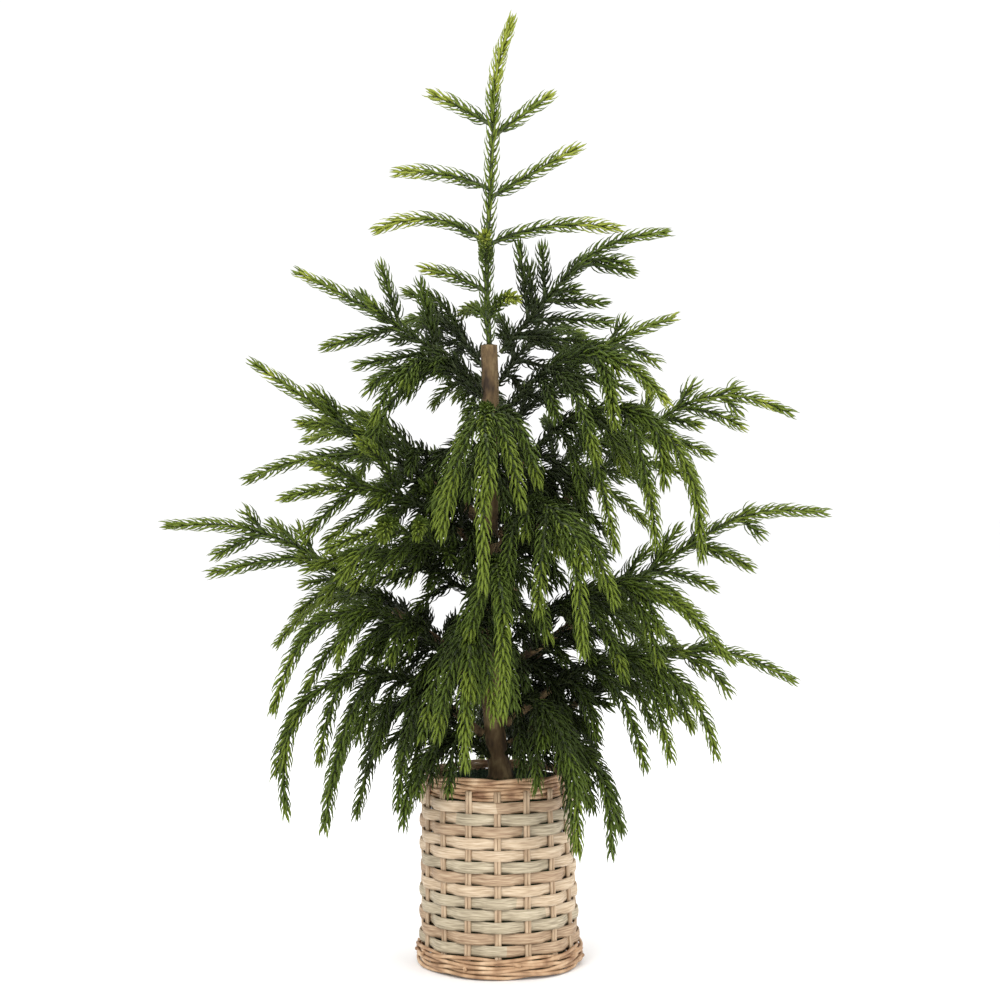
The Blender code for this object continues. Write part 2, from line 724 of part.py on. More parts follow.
def moss_fill(collection, parent, finish):
    """The fill of the basket, with a lumpy mossy top that is level round the trunk's foot."""
    low = BASE_THICKNESS + GAP
    neck = BASKET_HEIGHT - RIM_HEIGHT
    rim_inner = RIM_RADIUS - RIM_THICKNESS - GAP
    foot_inner = min(FOOT_RADIUS - FOOT_THICKNESS, WALL_FOOT_RADIUS - WALL_THICKNESS) - GAP
    rings = [MOSS_FLAT_RADIUS, 0.5 * (MOSS_FLAT_RADIUS + rim_inner), 0.9 * rim_inner]
    profile = [(0.0, MOSS_TOP)] + [(radius, MOSS_TOP) for radius in rings]
    profile += [(rim_inner, MOSS_TOP - MOSS_EDGE_DROP), (rim_inner, neck), (foot_inner, low), (0.0, low)]
    fill = turned("moss_fill", profile, collection, parent, finish)
    for vertex in fill.data.vertices:
        across = math.hypot(vertex.co.x, vertex.co.y)
        if vertex.co.z > MOSS_TOP - GAP and across > MOSS_FLAT_RADIUS + GAP:
            vertex.co.z += MOSS_BUMP * noise.noise(vertex.co * MOSS_BUMPS_PER_METRE)
    lean(fill)
    return fill


def basket(collection, parent, splint, rod, moss):
    rod_border("basket_foot_border", 0.0, FOOT_HEIGHT, FOOT_RADIUS, FOOT_THICKNESS, FOOT_RODS,
               collection, parent, rod)
    basket_base(collection, parent, splint)
    basket_wall(collection, parent, splint)
    rod_border("basket_rim_border", BASKET_HEIGHT - RIM_HEIGHT, BASKET_HEIGHT, RIM_RADIUS, RIM_THICKNESS,
               RIM_RODS, collection, parent, rod)
    moss_fill(collection, parent, moss)


def main():
    clear_scene()
    collection = new_collection("norfolk_pine_in_basket")
    frame = bpy.data.objects.new("frame", None)
    collection.objects.link(frame)
    splint = material("willow_splint", (0.56, 0.43, 0.29), 0.75)
    rod = material("willow_rod", (0.45, 0.28, 0.16), 0.7)
    moss = material("moss", (0.02, 0.06, 0.02), 0.95)
    bark = material("bark", (0.24, 0.13, 0.07), 0.85)
    needles = material("needles", (0.06, 0.15, 0.03), 0.6)
    basket(collection, frame, splint, rod, moss)
    tree(collection, frame, bark, needles)


main()
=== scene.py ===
import math
import random
from collections import namedtuple

import bpy
import numpy as np
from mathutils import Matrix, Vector, noise


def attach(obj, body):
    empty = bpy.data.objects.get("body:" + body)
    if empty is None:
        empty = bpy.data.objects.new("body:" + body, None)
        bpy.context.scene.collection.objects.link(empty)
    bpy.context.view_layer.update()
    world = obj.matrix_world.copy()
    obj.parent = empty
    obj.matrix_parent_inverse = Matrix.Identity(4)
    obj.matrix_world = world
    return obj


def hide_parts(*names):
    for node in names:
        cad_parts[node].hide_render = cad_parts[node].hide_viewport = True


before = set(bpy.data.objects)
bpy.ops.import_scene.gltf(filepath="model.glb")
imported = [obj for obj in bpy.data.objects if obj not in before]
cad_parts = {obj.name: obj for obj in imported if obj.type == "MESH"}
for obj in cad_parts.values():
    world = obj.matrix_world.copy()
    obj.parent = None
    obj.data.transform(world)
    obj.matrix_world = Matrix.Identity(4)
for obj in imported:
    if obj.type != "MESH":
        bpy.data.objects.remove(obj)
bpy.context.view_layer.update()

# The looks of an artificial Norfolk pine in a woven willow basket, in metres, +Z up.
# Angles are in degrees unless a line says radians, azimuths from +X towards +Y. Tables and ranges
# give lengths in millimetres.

MM = 0.001
GAP = 0.3 * MM  # what neighbouring solids keep clear of each other
UP = Vector((0.0, 0.0, 1.0))

# The photograph's camera: level, straight in front, at the height of the middle of its frame
PHOTO_FOCUS = 1885.7  # focal length in pixels of a frame 1000 pixels wide
FRAME_WIDTH = 1000.0
CAMERA_DISTANCE = 1.32
CAMERA_HEIGHT = 0.3226
SENSOR = 36.0  # its width in millimetres

# The basket
BASKET_HEIGHT = 134.0 * MM
BASKET_LEAN = 3.0 * MM
STAKES = 16
WEAVE_ROWS = 13
WALL_TOP_RADIUS = 51.0 * MM
WALL_FOOT_RADIUS = 53.6 * MM
RIM_HEIGHT = 14.7 * MM
RIM_RADIUS = 50.0 * MM
FOOT_HEIGHT = 15.0 * MM
FOOT_RADIUS = 57.6 * MM
ROD_BULGE = 1.1 * MM

# Its splints, flat strips that weave out past every second stake
SPLINT_RELIEF = 1.7 * MM
SPLINT_BEND = 0.75  # under 1, so that a splint runs flat over a stake and bends between two
SPLINT_WIDTH = 7.7 * MM
SPLINT_THICKNESS = 0.9 * MM
SPLINT_CROWN = 0.6 * MM
SPLINT_BACK_SHARE = 0.97  # how wide its back is beside its front
SPLINT_SECTIONS = 5  # faces across its front
SPLINT_STEPS = 12  # steps from one stake to the next
SPLINT_WANDER = 0.35 * MM
SPLINT_WIDTH_WANDER = 0.07
WANDER_PER_STAKE = 0.7  # how quickly its height wanders as it goes round
WIDTH_PER_STAKE = 0.5
TILT_PER_STAKE = 0.4
SPLINT_TUCK = 1.2 * MM
SPLINT_OVERLAP = 0.03  # of a turn
FIRST_SPLINT_TURNS = (0.42, 0.58)
SPLINT_COLOURS = {
    "pale": ((156, 133, 106), (186, 164, 136), (206, 188, 162)),
    "tan": ((128, 102, 76), (160, 134, 106), (186, 163, 134)),
    "grey": ((130, 118, 96), (164, 151, 126), (190, 177, 152)),
}
SPLINT_CHOICE = ("pale", "pale", "tan", "grey")

# Its stakes, pairs of upright rods
STAKE_ROD_RADIUS = 1.15 * MM
STAKE_ROD_APART = 1.15 * MM
STAKE_STEPS = 26
STAKE_ENDS_IN = 8.0 * MM  # from the basket's foot and from its rim
STAKE_SLANTS = (-1.5, 3.0)
STAKE_WAVE = 0.2 * MM
STAKE_WAVE_TURN = 1.3  # radians from step to step
STAKE_ROD_SPREAD = (0.9, 1.1)
ROD_SIDES = 8

# Its borders, rows of two rods wound round each other
BORDER_ROWS = 4
BORDER_STRANDS = 2
BORDER_TWISTS = (-3, 4)  # by turns, one row after the other
BORDER_ROD_RADIUS = 1.25 * MM
BORDER_STEPS = 240
BORDER_WANDER = 0.6 * MM
BORDER_WANDER_RATE = 4.0
RIM_INSET = 1.7 * MM
RIM_WIND = 1.25 * MM
FOOT_INSET = 2.0 * MM
FOOT_WIND = 1.5 * MM
FOOT_LOWEST = 2.2 * MM
FOOT_ROW_RISE = 0.35
ROD_ENDS = 22
ROD_END_INSET = 4.0 * MM
ROD_END_OUT = 4.6 * MM
ROD_END_HEIGHTS = (4.0, 13.0)
ROD_END_PITCHES = (-15.0, 20.0)
ROD_END_ALONGS = (2.0, 6.0)

# The moss in it
MOSS_TOP = 128.0 * MM
MOSS_RADIUS = 44.2 * MM
MOSS_RINGS = 26
MOSS_SIDES = 96
MOSS_LUMP = 1.3 * MM
MOSS_LUMP_RATE = 90.0
MOSS_FINE_LUMP = 0.5  # of the large lumps' height
MOSS_FINE_RATE = 300.0
MOSS_EDGE_SHARE = 0.85
MOSS_EDGE_DROP = 3.0 * MM
MOSS_SIDE_RADIUS = 45.4 * MM
MOSS_SIDE_TOP = MOSS_TOP - 6.0 * MM
MOSS_SIDE_FOOT = 5.0 * MM
MOSS_TUFTS = 2600
TUFT_AREAS = (0.03, 0.98)  # shares of the round top, from its middle out
TUFT_PITCHES = (20.0, 85.0)
TUFT_SUNK = 1.5 * MM
TUFT_HALF_WIDTHS = (0.3, 0.6)
TUFT_LENGTHS = (2.5, 5.5)
TUFT_DEPTH = 0.3 * MM

# The trunk: height, sideways place and radius
TrunkPoint = namedtuple("TrunkPoint", "height x radius")
TRUNK = (
    TrunkPoint(128.3, 0.5, 10.0),
    TrunkPoint(131.0, 0.5, 8.6),
    TrunkPoint(142.0, -1.5, 7.4),
    TrunkPoint(190.0, -6.5, 7.0),
    TrunkPoint(247.0, -8.5, 6.8),
    TrunkPoint(310.0, -7.5, 6.4),
    TrunkPoint(362.0, -6.5, 6.1),
    TrunkPoint(431.0, -7.5, 5.6),
)
TRUNK_STEPS = 150
TRUNK_SIDES = 24
TRUNK_RELIEF = 0.55 * MM
BOUGH_SIDES = 12
BOUGH_RELIEF = 0.3 * MM
BOUGH_STEP = 3.0 * MM

# The cut end of a side shoot that stands out of the trunk
STUB_POINT = TRUNK[4]
STUB_AZIMUTH = 322.0
STUB_RISE = 35.0
STUB_HEIGHT = 245.0 * MM
STUB_ROOT = 6.0 * MM
STUB_LENGTH = 24.0 * MM
STUB_RADII = (2.6 * MM, 2.4 * MM, 2.3 * MM)
STUB_RELIEF = 0.2 * MM
STUB_SEED = 90.0
LIMB_SEED = 3.7  # from one limb to the next, so that each has its own knots

# How fine the bark's furrows and knots are, round a limb and up it
FURROWS = (3.0, 60.0)
KNOTS = (1.2, 22.0)
KNOT_SIZE = 2.0

# The leader carries on from the trunk's tip, and ends in the top of the tree.
LEADER = (
    TrunkPoint(431.3, -7.5, 4.2),
    TrunkPoint(470.0, -9.5, 3.8),
    TrunkPoint(508.0, -8.5, 3.2),
    TrunkPoint(546.0, -6.5, 2.6),
    TrunkPoint(585.0, -4.5, 2.0),
    TrunkPoint(607.0, -5.0, 1.8),
    TrunkPoint(634.0, 0.0, 1.4),
    TrunkPoint(657.0, 8.0, 1.0),
)
LeaderTwig = namedtuple("LeaderTwig", "height azimuth pitch length sag")
LEADER_TWIGS = (
    LeaderTwig(584, 180, 33, 48, 0.10),
    LeaderTwig(577, 0, 36, 48, 0.00),
    LeaderTwig(540, 180, 25, 66, 0.25),
    LeaderTwig(534, 0, 30, 70, 0.00),
    LeaderTwig(502, 180, 38, 82, 0.50),
    LeaderTwig(501, 0, 25, 92, 0.30),
    LeaderTwig(484, 268, 40, 46, 0.30),
    LeaderTwig(484, 92, 40, 46, 0.30),
    LeaderTwig(468, 180, 32, 46, 0.20),
    LeaderTwig(464, 0, 26, 46, 0.20),
    LeaderTwig(448, 290, 34, 58, 0.40),
    LeaderTwig(448, 110, 34, 58, 0.40),
)

# The boughs. Each leaves the trunk at its height and azimuth, pitched up by rise, and bends from the
# share called bend until its tip is pitched by fall. Its side twigs stand in opposite pairs in a plane
# turned by roll, spread from the bough by spread and weighed down by sag. A pair gives its share of the
# bough's length and the lengths of its two twigs. The share called bare is the limb without needles;
# with none, the needles start at the trunk.
Bough = namedtuple("Bough", "name height azimuth rise fall bend length bare roll spread sag pairs")
BOUGHS = (
    Bough("crown_left", 398, 180, 37, 26, 0.10, 158, 0, 90, 44, 0.04,
          ((0.17, 0, 58), (0.30, 50, 56), (0.49, 44, 56))),
    Bough("crown_right", 417, 0, 49, 5, 0.45, 160, 0, 90, 46, 0.10,
          ((0.16, 0, 60), (0.26, 54, 56), (0.37, 38, 40), (0.60, 0, 34))),
    Bough("crown_front_left", 388, 218, 40, -66, 0.10, 126, 0, 50, 38, 0.8,
          ((0.45, 50, 76),)),
    Bough("crown_back_left", 410, 128, 40, -10, 0.30, 120, 0, 60, 45, 0.4,
          ((0.30, 45, 55), (0.55, 40, 45))),
    Bough("crown_back_right", 396, 52, 42, -10, 0.30, 130, 0, 60, 45, 0.4,
          ((0.30, 45, 55), (0.55, 40, 45))),
    Bough("upper_right", 362, 8, 43, 19, 0.30, 160, 0, 90, 38, 0.2,
          ((0.45, 26, 46), (0.70, 18, 34))),
    Bough("upper_front_right", 372, 322, 42, -44, 0.15, 172, 0, 40, 36, 1.0,
          ((0.36, 60, 96), (0.60, 50, 60))),
    Bough("upper_front", 326, 269, 45, -89, 0.05, 270, 0.16, 20, 38, 1.6,
          ((0.30, 80, 90), (0.50, 80, 86))),
    Bough("upper_back", 356, 92, 42, -30, 0.20, 160, 0, 50, 42, 0.8,
          ((0.35, 60, 66), (0.60, 46, 56))),
    Bough("middle_left", 307, 180, 34, 34, 0.30, 198, 0.25, 60, 28, 0.3,
          ((0.42, 30, 112), (0.62, 32, 26))),
    Bough("middle_front_left", 284, 212, 36, -12, 0.10, 170, 0.25, 60, 38, 0.3,
          ((0.48, 60, 60), (0.66, 50, 50))),
    Bough("waist_front_left", 258, 232, 34, -16, 0.10, 176, 0, 40, 36, 0.5,
          ((0.45, 60, 60), (0.62, 50, 50))),
    Bough("middle_right", 275, 0, 41, -24, 0.56, 255, 0.30, 90, 36, 0.3,
          ((0.45, 40, 56), (0.55, 30, 50), (0.68, 20, 44), (0.80, 14, 18))),
    Bough("middle_front_right", 312, 324, 50, -87, 0.12, 264, 0.18, 30, 30, 1.6,
          ((0.33, 90, 120), (0.52, 90, 100))),
    Bough("middle_front", 270, 292, 43, -85, 0.08, 236, 0.18, 25, 34, 1.4,
          ((0.33, 80, 90), (0.52, 80, 80))),
    Bough("middle_back_left", 300, 145, 38, -12, 0.35, 190, 0.25, 60, 40, 0.5,
          ((0.40, 60, 80), (0.60, 50, 60))),
    Bough("middle_back_right", 290, 40, 40, -12, 0.35, 200, 0.25, 60, 40, 0.5,
          ((0.40, 60, 80), (0.60, 50, 60))),
    Bough("lower_left", 200, 179, 34, -3, 0.50, 256, 0.32, 75, 36, 0.12,
          ((0.47, 22, 32), (0.58, 24, 70), (0.73, 20, 40))),
    Bough("lower_front_left", 186, 207, 40, -74, 0.25, 216, 0.22, 40, 34, 1.0,
          ((0.32, 66, 74), (0.46, 60, 76))),
    Bough("waist_left", 250, 196, 32, -20, 0.20, 138, 0, 40, 36, 0.5,
          ((0.35, 50, 66), (0.60, 40, 56))),
    Bough("waist_front", 240, 274, 42, -87, 0.05, 222, 0, 20, 36, 1.6,
          ((0.30, 84, 84), (0.50, 76, 76))),
    Bough("waist_front_right", 212, 330, 36, -50, 0.20, 212, 0, 40, 34, 1.0,
          ((0.35, 70, 90), (0.55, 60, 70))),
    Bough("lower_right", 197, 1, 34, -6, 0.62, 268, 0.32, 90, 34, 0.3,
          ((0.40, 40, 60), (0.50, 20, 46), (0.63, 16, 44), (0.77, 10, 20))),
    Bough("lower_front_right", 160, 336, 37, -74, 0.26, 212, 0.25, 30, 28, 1.6,
          ((0.38, 80, 90), (0.52, 80, 80))),
    Bough("lower_front", 215, 264, 36, -89, 0.05, 210, 0.18, 15, 34, 1.8,
          ((0.33, 84, 96), (0.52, 70, 76))),
    Bough("lower_back", 235, 96, 38, -40, 0.20, 215, 0, 40, 40, 1.0,
          ((0.35, 80, 90), (0.55, 70, 70))),
    Bough("lower_back_left", 190, 146, 34, -45, 0.30, 225, 0.25, 50, 38, 0.8,
          ((0.40, 76, 84), (0.58, 60, 70))),
    Bough("lower_back_right", 180, 42, 34, -45, 0.30, 225, 0.25, 50, 38, 0.8,
          ((0.40, 76, 84), (0.58, 60, 70))),
    Bough("bottom_left", 151, 199, 39, -96, 0.17, 236, 0.20, 20, 32, 2.4,
          ((0.24, 110, 120), (0.38, 130, 100))),
    Bough("bottom_front_left", 138, 226, 32, -82, 0.10, 128, 0, 30, 34, 1.5,
          ((0.35, 50, 66),)),
    Bough("bottom_right", 146, 4, 31, -30, 0.40, 232, 0.28, 80, 34, 0.5,
          ((0.40, 40, 60), (0.50, 26, 46), (0.66, 20, 42))),
    Bough("bottom_front_right", 142, 314, 26, -90, 0.10, 160, 0, 30, 30, 2.0,
          ((0.35, 84, 84),)),
    Bough("bottom_front", 176, 298, 22, -90, 0.00, 182, 0, 20, 28, 2.2,
          ((0.35, 84, 60),)),
    Bough("bottom_back", 156, 95, 28, -80, 0.15, 175, 0, 30, 36, 1.6,
          ((0.35, 80, 80),)),
    Bough("bottom_back_left", 142, 152, 32, -70, 0.20, 170, 0, 30, 36, 1.6,
          ((0.40, 70, 70),)),
    Bough("bottom_back_right", 141, 62, 32, -70, 0.20, 170, 0, 30, 36, 1.6,
          ((0.40, 70, 70),)),
)
BOUGH_STEPS = 16
BOUGH_ROOT_RADIUS = 3.0 * MM
BOUGH_END_RADIUS = 2.3 * MM
TWIG_STEPS = 8
STEM_RADIUS = 2.2 * MM
TWIG_RADIUS = 1.8 * MM
SHORTEST_TWIG = 22.0 * MM
SPREAD_JITTER = 4.0
LENGTH_JITTER = 0.06
ROLL_JITTER = 9.0

# The room that each limb and mass keeps to itself
CELL = 12.0 * MM
LIMB_SAMPLE = 1.5 * MM
TWIG_SAMPLE = 2.0 * MM
TWIG_CLEARANCE = 0.8 * MM
BASKET_CLEARANCE = 2.0 * MM

# Needles
NEEDLE_LENGTH = 11.6 * MM
NEEDLE_WIDTH = 1.8 * MM
NEEDLE_DEPTH = 0.8 * MM
NEEDLE_EVERY = 0.74 * MM
NEEDLE_TURN = 137.5
NEEDLE_PARTS = 3  # straight parts along a needle's curve
NEEDLE_SHAPE = (0.8, 1.0, 0.75)  # its width at each part, as shares of the widest
NEEDLE_LEAVES = 47.0  # degrees off the twig at its root
NEEDLE_ENDS = 7.0  # and at its point
NEEDLE_LENGTH_SPREAD = (0.82, 1.1)
NEEDLE_ROOT_SHARE = 0.75  # how long it is at a twig's root
NEEDLE_ROOT_SLOPE = 2.0  # and how fast it grows to its whole length along the twig
NEEDLE_ROLL = 0.25  # radians
NEEDLE_SUNK_SHARE = 0.6  # how far out in the core a needle starts
NEEDLE_ROUGHNESS = 0.55
NEEDLE_SPECULAR = 0.18
FEWEST_NEEDLES = 4

# A twig's tip is its last part, where the needles stand in closer and are shorter.
TIP_FROM = 0.8
TIP_LEAVES_LESS = 0.35
TIP_ENDS_LESS = 0.6
TIP_SHORTER = 0.22

# The twigs that carry them
BARE_ROOT = 5.0 * MM
SPRAY = 9.0 * MM  # the length of twig whose needles are a little lighter or darker together
NEEDLE_STEP = 4.0 * MM
CORE_STEP = 6.0 * MM
FEWEST_STEPS = 4
CORE_SIDES = 6
CORE_RADIUS = 1.3 * MM
TWIG_CORE_RADIUS = 1.3 * CORE_RADIUS
CORE_TIP_RADIUS = 0.7 * MM
LEADER_CORE_RADIUS = 2.0 * MM

# The finer twigs round each stem, between these shares of its length
FINE_FIRST_SHARE = 0.18
FINE_LAST_SHARE = 0.62
FINE_TWIGS = 5
FINE_LENGTHS = (0.42, 0.72)  # as shares of the bough's longest twig
FINE_SHORTER = 0.4  # how much shorter they are for their share along the bough
FINE_ROLL = 20.0

# Short sprigs that fill the inside of the crown, from the trunk and from the limbs
SPRIG_LOWEST = 138
SPRIG_HIGHEST = 352
SPRIG_EVERY = 5
SPRIG_LENGTHS = (42.0, 78.0)
SPRIG_PITCHES = (8.0, 42.0)
SPRIG_SAGS = (0.5, 1.3)
SPRIG_TURN_JITTER = 20.0
LIMB_SPRIGS = 12
LIMB_SPRIG_FIRST = 0.7
LIMB_SPRIG_LENGTHS = (34.0, 60.0)
LIMB_SPRIG_SPREAD = 52.0
LIMB_SPRIG_ROLL = 1.0  # radians

# Tones of the needles, from the inside of the crown to the tips: partly the needles' own colour, lighter
# towards a twig's tip, and partly painted shade, darker deep in the crown, with a little painted light at
# its outside
TONES = ("deep", "dark", "middle", "light", "tip")
TONE_COLOURS = ((29, 38, 9), (48, 61, 17), (71, 87, 26), (94, 109, 33), (132, 142, 50))
TONE_STEPS = (-0.22, 0.22, 0.72, 1.16)
TONE_SLOPE = 0.85  # how much lighter a twig's tip is than its root
TONE_JITTER = 0.14
HEIGHT_TONE = 1.1  # how much lighter for each metre up
HEIGHT_TONE_FROM = 0.30
LEADER_TONE = 0.9
# Painted shade: the sprigs that fill the inside of the crown get darker needles
SPRIG_PAINTED_SHADE = -0.2
# Painted shade and light: needles inside this radius are darker the nearer they stand to the trunk, and
# those beyond it a little lighter
INNER_RADIUS = 105.0 * MM
INWARD_PAINTED_SHADE = -0.7
OUTWARD_PAINTED_LIGHT = 0.2

# What the grained finishes share
GRAIN_DETAIL = 6.0
RAMP_ENDS = (0.32, 0.68)
BUMP_DISTANCE = 1.0 * MM

# The floor and lights
FLOOR_HALF = 30.0
FLOOR_GREY = 0.98
FLOOR_ROUGHNESS = 0.9
LIT_PLACE = Vector((0.0, 0.0, 0.3))
WORLD_LIGHT = 1.05
Light = namedtuple("Light", "name place power width")
LIGHTS = (
    Light("key", (-0.9, -1.6, 1.5), 26.0, 1.0),
    Light("fill", (1.4, -1.2, 0.6), 14.0, 1.2),
    Light("top", (0.2, 0.3, 1.9), 14.0, 1.0),
)


def smooth_step(share):
    share = min(max(share, 0.0), 1.0)
    return share * share * (3.0 - 2.0 * share)


def heading(azimuth, pitch):
    azimuth = math.radians(azimuth)
    pitch = math.radians(pitch)
    level = math.cos(pitch)
    return Vector((math.cos(azimuth) * level, math.sin(azimuth) * level, math.sin(pitch)))


def stem_points(points):
    return [Vector((point.x * MM, 0.0, point.height * MM)) for point in points]


def on_stem(points, height):
    """The centre and radius of the trunk or leader at a height."""
    for low, high in zip(points, points[1:]):
        if height <= high.height * MM:
            break
    share = (height / MM - low.height) / (high.height - low.height)
    share = min(max(share, 0.0), 1.0)
    x = low.x + share * (high.x - low.x)
    radius = low.radius + share * (high.radius - low.radius)
    return Vector((x * MM, 0.0, height)), radius * MM


def bough_line(bough):
    """The bough's centre line from inside the trunk to its tip, in equal steps."""
    point, _ = on_stem(TRUNK, bough.height * MM)
    line = [point.copy()]
    for index in range(BOUGH_STEPS):
        share = (index + 0.5) / BOUGH_STEPS
        bent = smooth_step((share - bough.bend) / (1.0 - bough.bend))
        pitch = bough.rise + (bough.fall - bough.rise) * bent
        point = point + heading(bough.azimuth, pitch) * (bough.length * MM / BOUGH_STEPS)
        line.append(point)
    return line


def drooping_line(root, direction, length, sag):
    """A twig's centre line, which leaves along direction and is bent down by its weight."""
    point = root.copy()
    line = [point.copy()]
    for index in range(TWIG_STEPS):
        share = (index + 0.5) / TWIG_STEPS
        bent = (direction - UP * (2.0 * sag * share)).normalized()
        point = point + bent * (length / TWIG_STEPS)
        line.append(point)
    return line


def line_length(line):
    return sum((b - a).length for a, b in zip(line, line[1:]))


def on_line(line, share):
    """The point and direction at a share of an evenly stepped line."""
    place = min(max(share, 0.0), 1.0) * (len(line) - 1)
    index = min(int(place), len(line) - 2)
    run = line[index + 1] - line[index]
    return line[index] + run * (place - index), run.normalized()


def part_of_line(line, start, end, steps):
    return [on_line(line, start + (end - start) * index / steps)[0] for index in range(steps + 1)]


def twig_lines(bough, line):
    """The side twigs of a bough: opposite pairs in its rolled plane."""
    chance = random.Random(bough.name)
    level = heading(bough.azimuth + 90.0, 0.0)
    twigs = []
    for share, *lengths in bough.pairs:
        root, along = on_line(line, share)
        over = along.cross(level)
        roll = math.radians(bough.roll + chance.uniform(-ROLL_JITTER, ROLL_JITTER))
        out = level * math.cos(roll) + over * math.sin(roll)
        for side, length in zip((1.0, -1.0), lengths):
            spread = math.radians(bough.spread + chance.uniform(-SPREAD_JITTER, SPREAD_JITTER))
            size = length * MM * (1.0 + chance.uniform(-LENGTH_JITTER, LENGTH_JITTER))
            direction = along * math.cos(spread) + out * (side * math.sin(spread))
            if length:
                twigs.append(drooping_line(root, direction, size, bough.sag))
    return twigs


def leader_twig_lines():
    twigs = []
    for twig in LEADER_TWIGS:
        root, _ = on_stem(LEADER, twig.height * MM)
        direction = heading(twig.azimuth, twig.pitch)
        twigs.append(drooping_line(root, direction, twig.length * MM, twig.sag))
    return twigs


class Space:
    """The room that limbs and twigs take, kept in cubic cells so that neighbours are found quickly."""

    def __init__(self):
        self.cells = {}

    def cell(self, point):
        return tuple(math.floor(value / CELL) for value in point)

    def add_line(self, line, radius, owner):
        steps = max(2, round(line_length(line) / LIMB_SAMPLE))
        for index in range(steps + 1):
            point, _ = on_line(line, index / steps)
            self.cells.setdefault(self.cell(point), []).append((point, radius, owner))

    def near(self, point):
        x, y, z = self.cell(point)
        for across in (-1, 0, 1):
            for deep in (-1, 0, 1):
                for high in (-1, 0, 1):
                    yield from self.cells.get((x + across, y + deep, z + high), ())

    def clear_of_basket(self, point, margin):
        if point.z > BASKET_HEIGHT + margin:
            return True
        return math.hypot(point.x, point.y) > FOOT_RADIUS + ROD_BULGE + margin

    def holds_core(self, point, radius, owner, own_limb):
        """Whether a twig's core fits here beside the limbs and every other mass."""
        for other, other_radius, other_owner in self.near(point):
            if other_owner in (owner, own_limb):
                continue
            if (other - point).length < radius + other_radius + TWIG_CLEARANCE:
                return False
        return self.clear_of_basket(point, radius + BASKET_CLEARANCE)

    def fitted(self, line, radius, owner, own_limb):
        """The line as far as it stays in free room, or nothing where that is too short."""
        length = line_length(line)
        steps = max(2, round(length / TWIG_SAMPLE))
        for index in range(steps + 1):
            point, _ = on_line(line, index / steps)
            if not self.holds_core(point, radius, owner, own_limb):
                break
        else:
            return line
        share = (index - 2) / steps
        if share * length < SHORTEST_TWIG:
            return None
        return part_of_line(line, 0.0, share, TWIG_STEPS)


def off_trunk(point):
    """How far a point is from the trunk's surface, measured level."""
    centre, radius = on_stem(TRUNK, point.z)
    return math.hypot(point.x - centre.x, point.y - centre.y) - radius


def start_clear_of_trunk(line, radius):
    """The share of the line at which a flat end of this radius stands just clear of the trunk."""
    length = line_length(line)
    share = 0.0
    while True:
        centre, along = on_line(line, share)
        over = along.cross(UP).normalized().cross(along) * radius
        if min(off_trunk(centre + over), off_trunk(centre - over)) > GAP:
            return share
        share += 0.5 * GAP / length


def stem_line(bough, line):
    """The part of the bough that carries needles, up to its tip."""
    if bough.bare:
        start = bough.bare + GAP / (bough.length * MM)
    else:
        start = start_clear_of_trunk(line, STEM_RADIUS)
    return part_of_line(line, start, 1.0, BOUGH_STEPS)


class Shape:
    """Points and faces of one joined mesh, gathered piece by piece."""

    def __init__(self):
        self.points = []
        self.faces = []
        self.count = 0

    def add(self, points, faces):
        points = np.asarray(points, dtype=float)
        self.points.append(points)
        self.faces += (np.asarray(faces) + self.count).tolist()
        self.count += len(points)

    def piece(self, name, finish):
        data = bpy.data.meshes.new(name)
        data.from_pydata(np.concatenate(self.points).tolist(), [], self.faces)
        data.materials.append(finish)
        data.shade_smooth()
        obj = bpy.data.objects.new(name, data)
        bpy.context.scene.collection.objects.link(obj)
        return obj


def frames_along(points):
    """A line's points, and at each its direction and two directions square to it that don't twist."""
    points = np.asarray([tuple(point) for point in points], dtype=float)
    runs = np.gradient(points, axis=0)
    runs /= np.linalg.norm(runs, axis=1)[:, None]
    side = np.array(Vector(runs[0]).orthogonal().normalized())
    sides = []
    for run in runs:
        side = side - run * side.dot(run)
        side /= np.linalg.norm(side)
        sides.append(side)
    sides = np.array(sides)
    return points, runs, sides, np.cross(runs, sides)


def tube_faces(rings, around, closed=False):
    """The triangles of a tube with its ends closed, or running back into its start."""
    faces = []
    for step in range(rings if closed else rings - 1):
        low, high = step * around, (step + 1) % rings * around
        for index in range(around):
            right = (index + 1) % around
            faces += [(low + index, low + right, high + right), (low + index, high + right, high + index)]
    if not closed:
        top = (rings - 1) * around
        for index in range(1, around - 1):
            faces += [(0, index + 1, index), (top, top + index, top + index + 1)]
    return faces


def band_faces(low, high, around):
    """The triangles between two rings of points, which start at these numbers."""
    faces = []
    for index in range(around):
        right = (index + 1) % around
        faces += [(low + index, high + index, high + right), (low + index, high + right, low + right)]
    return faces


def tube(shape, line, radii, around, closed=False):
    """A tube of any radius along a line, with its ends closed, or running back into its start."""
    points, _, sides, overs = frames_along(line)
    if closed:
        sides = np.tile([0.0, 0.0, 1.0], (len(points), 1))
        runs = np.roll(points, -1, axis=0) - np.roll(points, 1, axis=0)
        runs /= np.linalg.norm(runs, axis=1)[:, None]
        overs = np.cross(runs, sides)
    turn = np.arange(around) * math.tau / around
    radii = np.broadcast_to(np.asarray(radii, dtype=float), (len(points),))
    rings = (points[:, None] + radii[:, None, None] * (np.cos(turn)[None, :, None] * sides[:, None]
             + np.sin(turn)[None, :, None] * overs[:, None]))
    shape.add(rings.reshape(-1, 3), tube_faces(len(points), around, closed))


def colour_of(red, green, blue):
    """A linear colour from the values that a screen shows."""
    def linear(value):
        value /= 255.0
        return value / 12.92 if value <= 0.04045 else ((value + 0.055) / 1.055) ** 2.4
    return linear(red), linear(green), linear(blue), 1.0


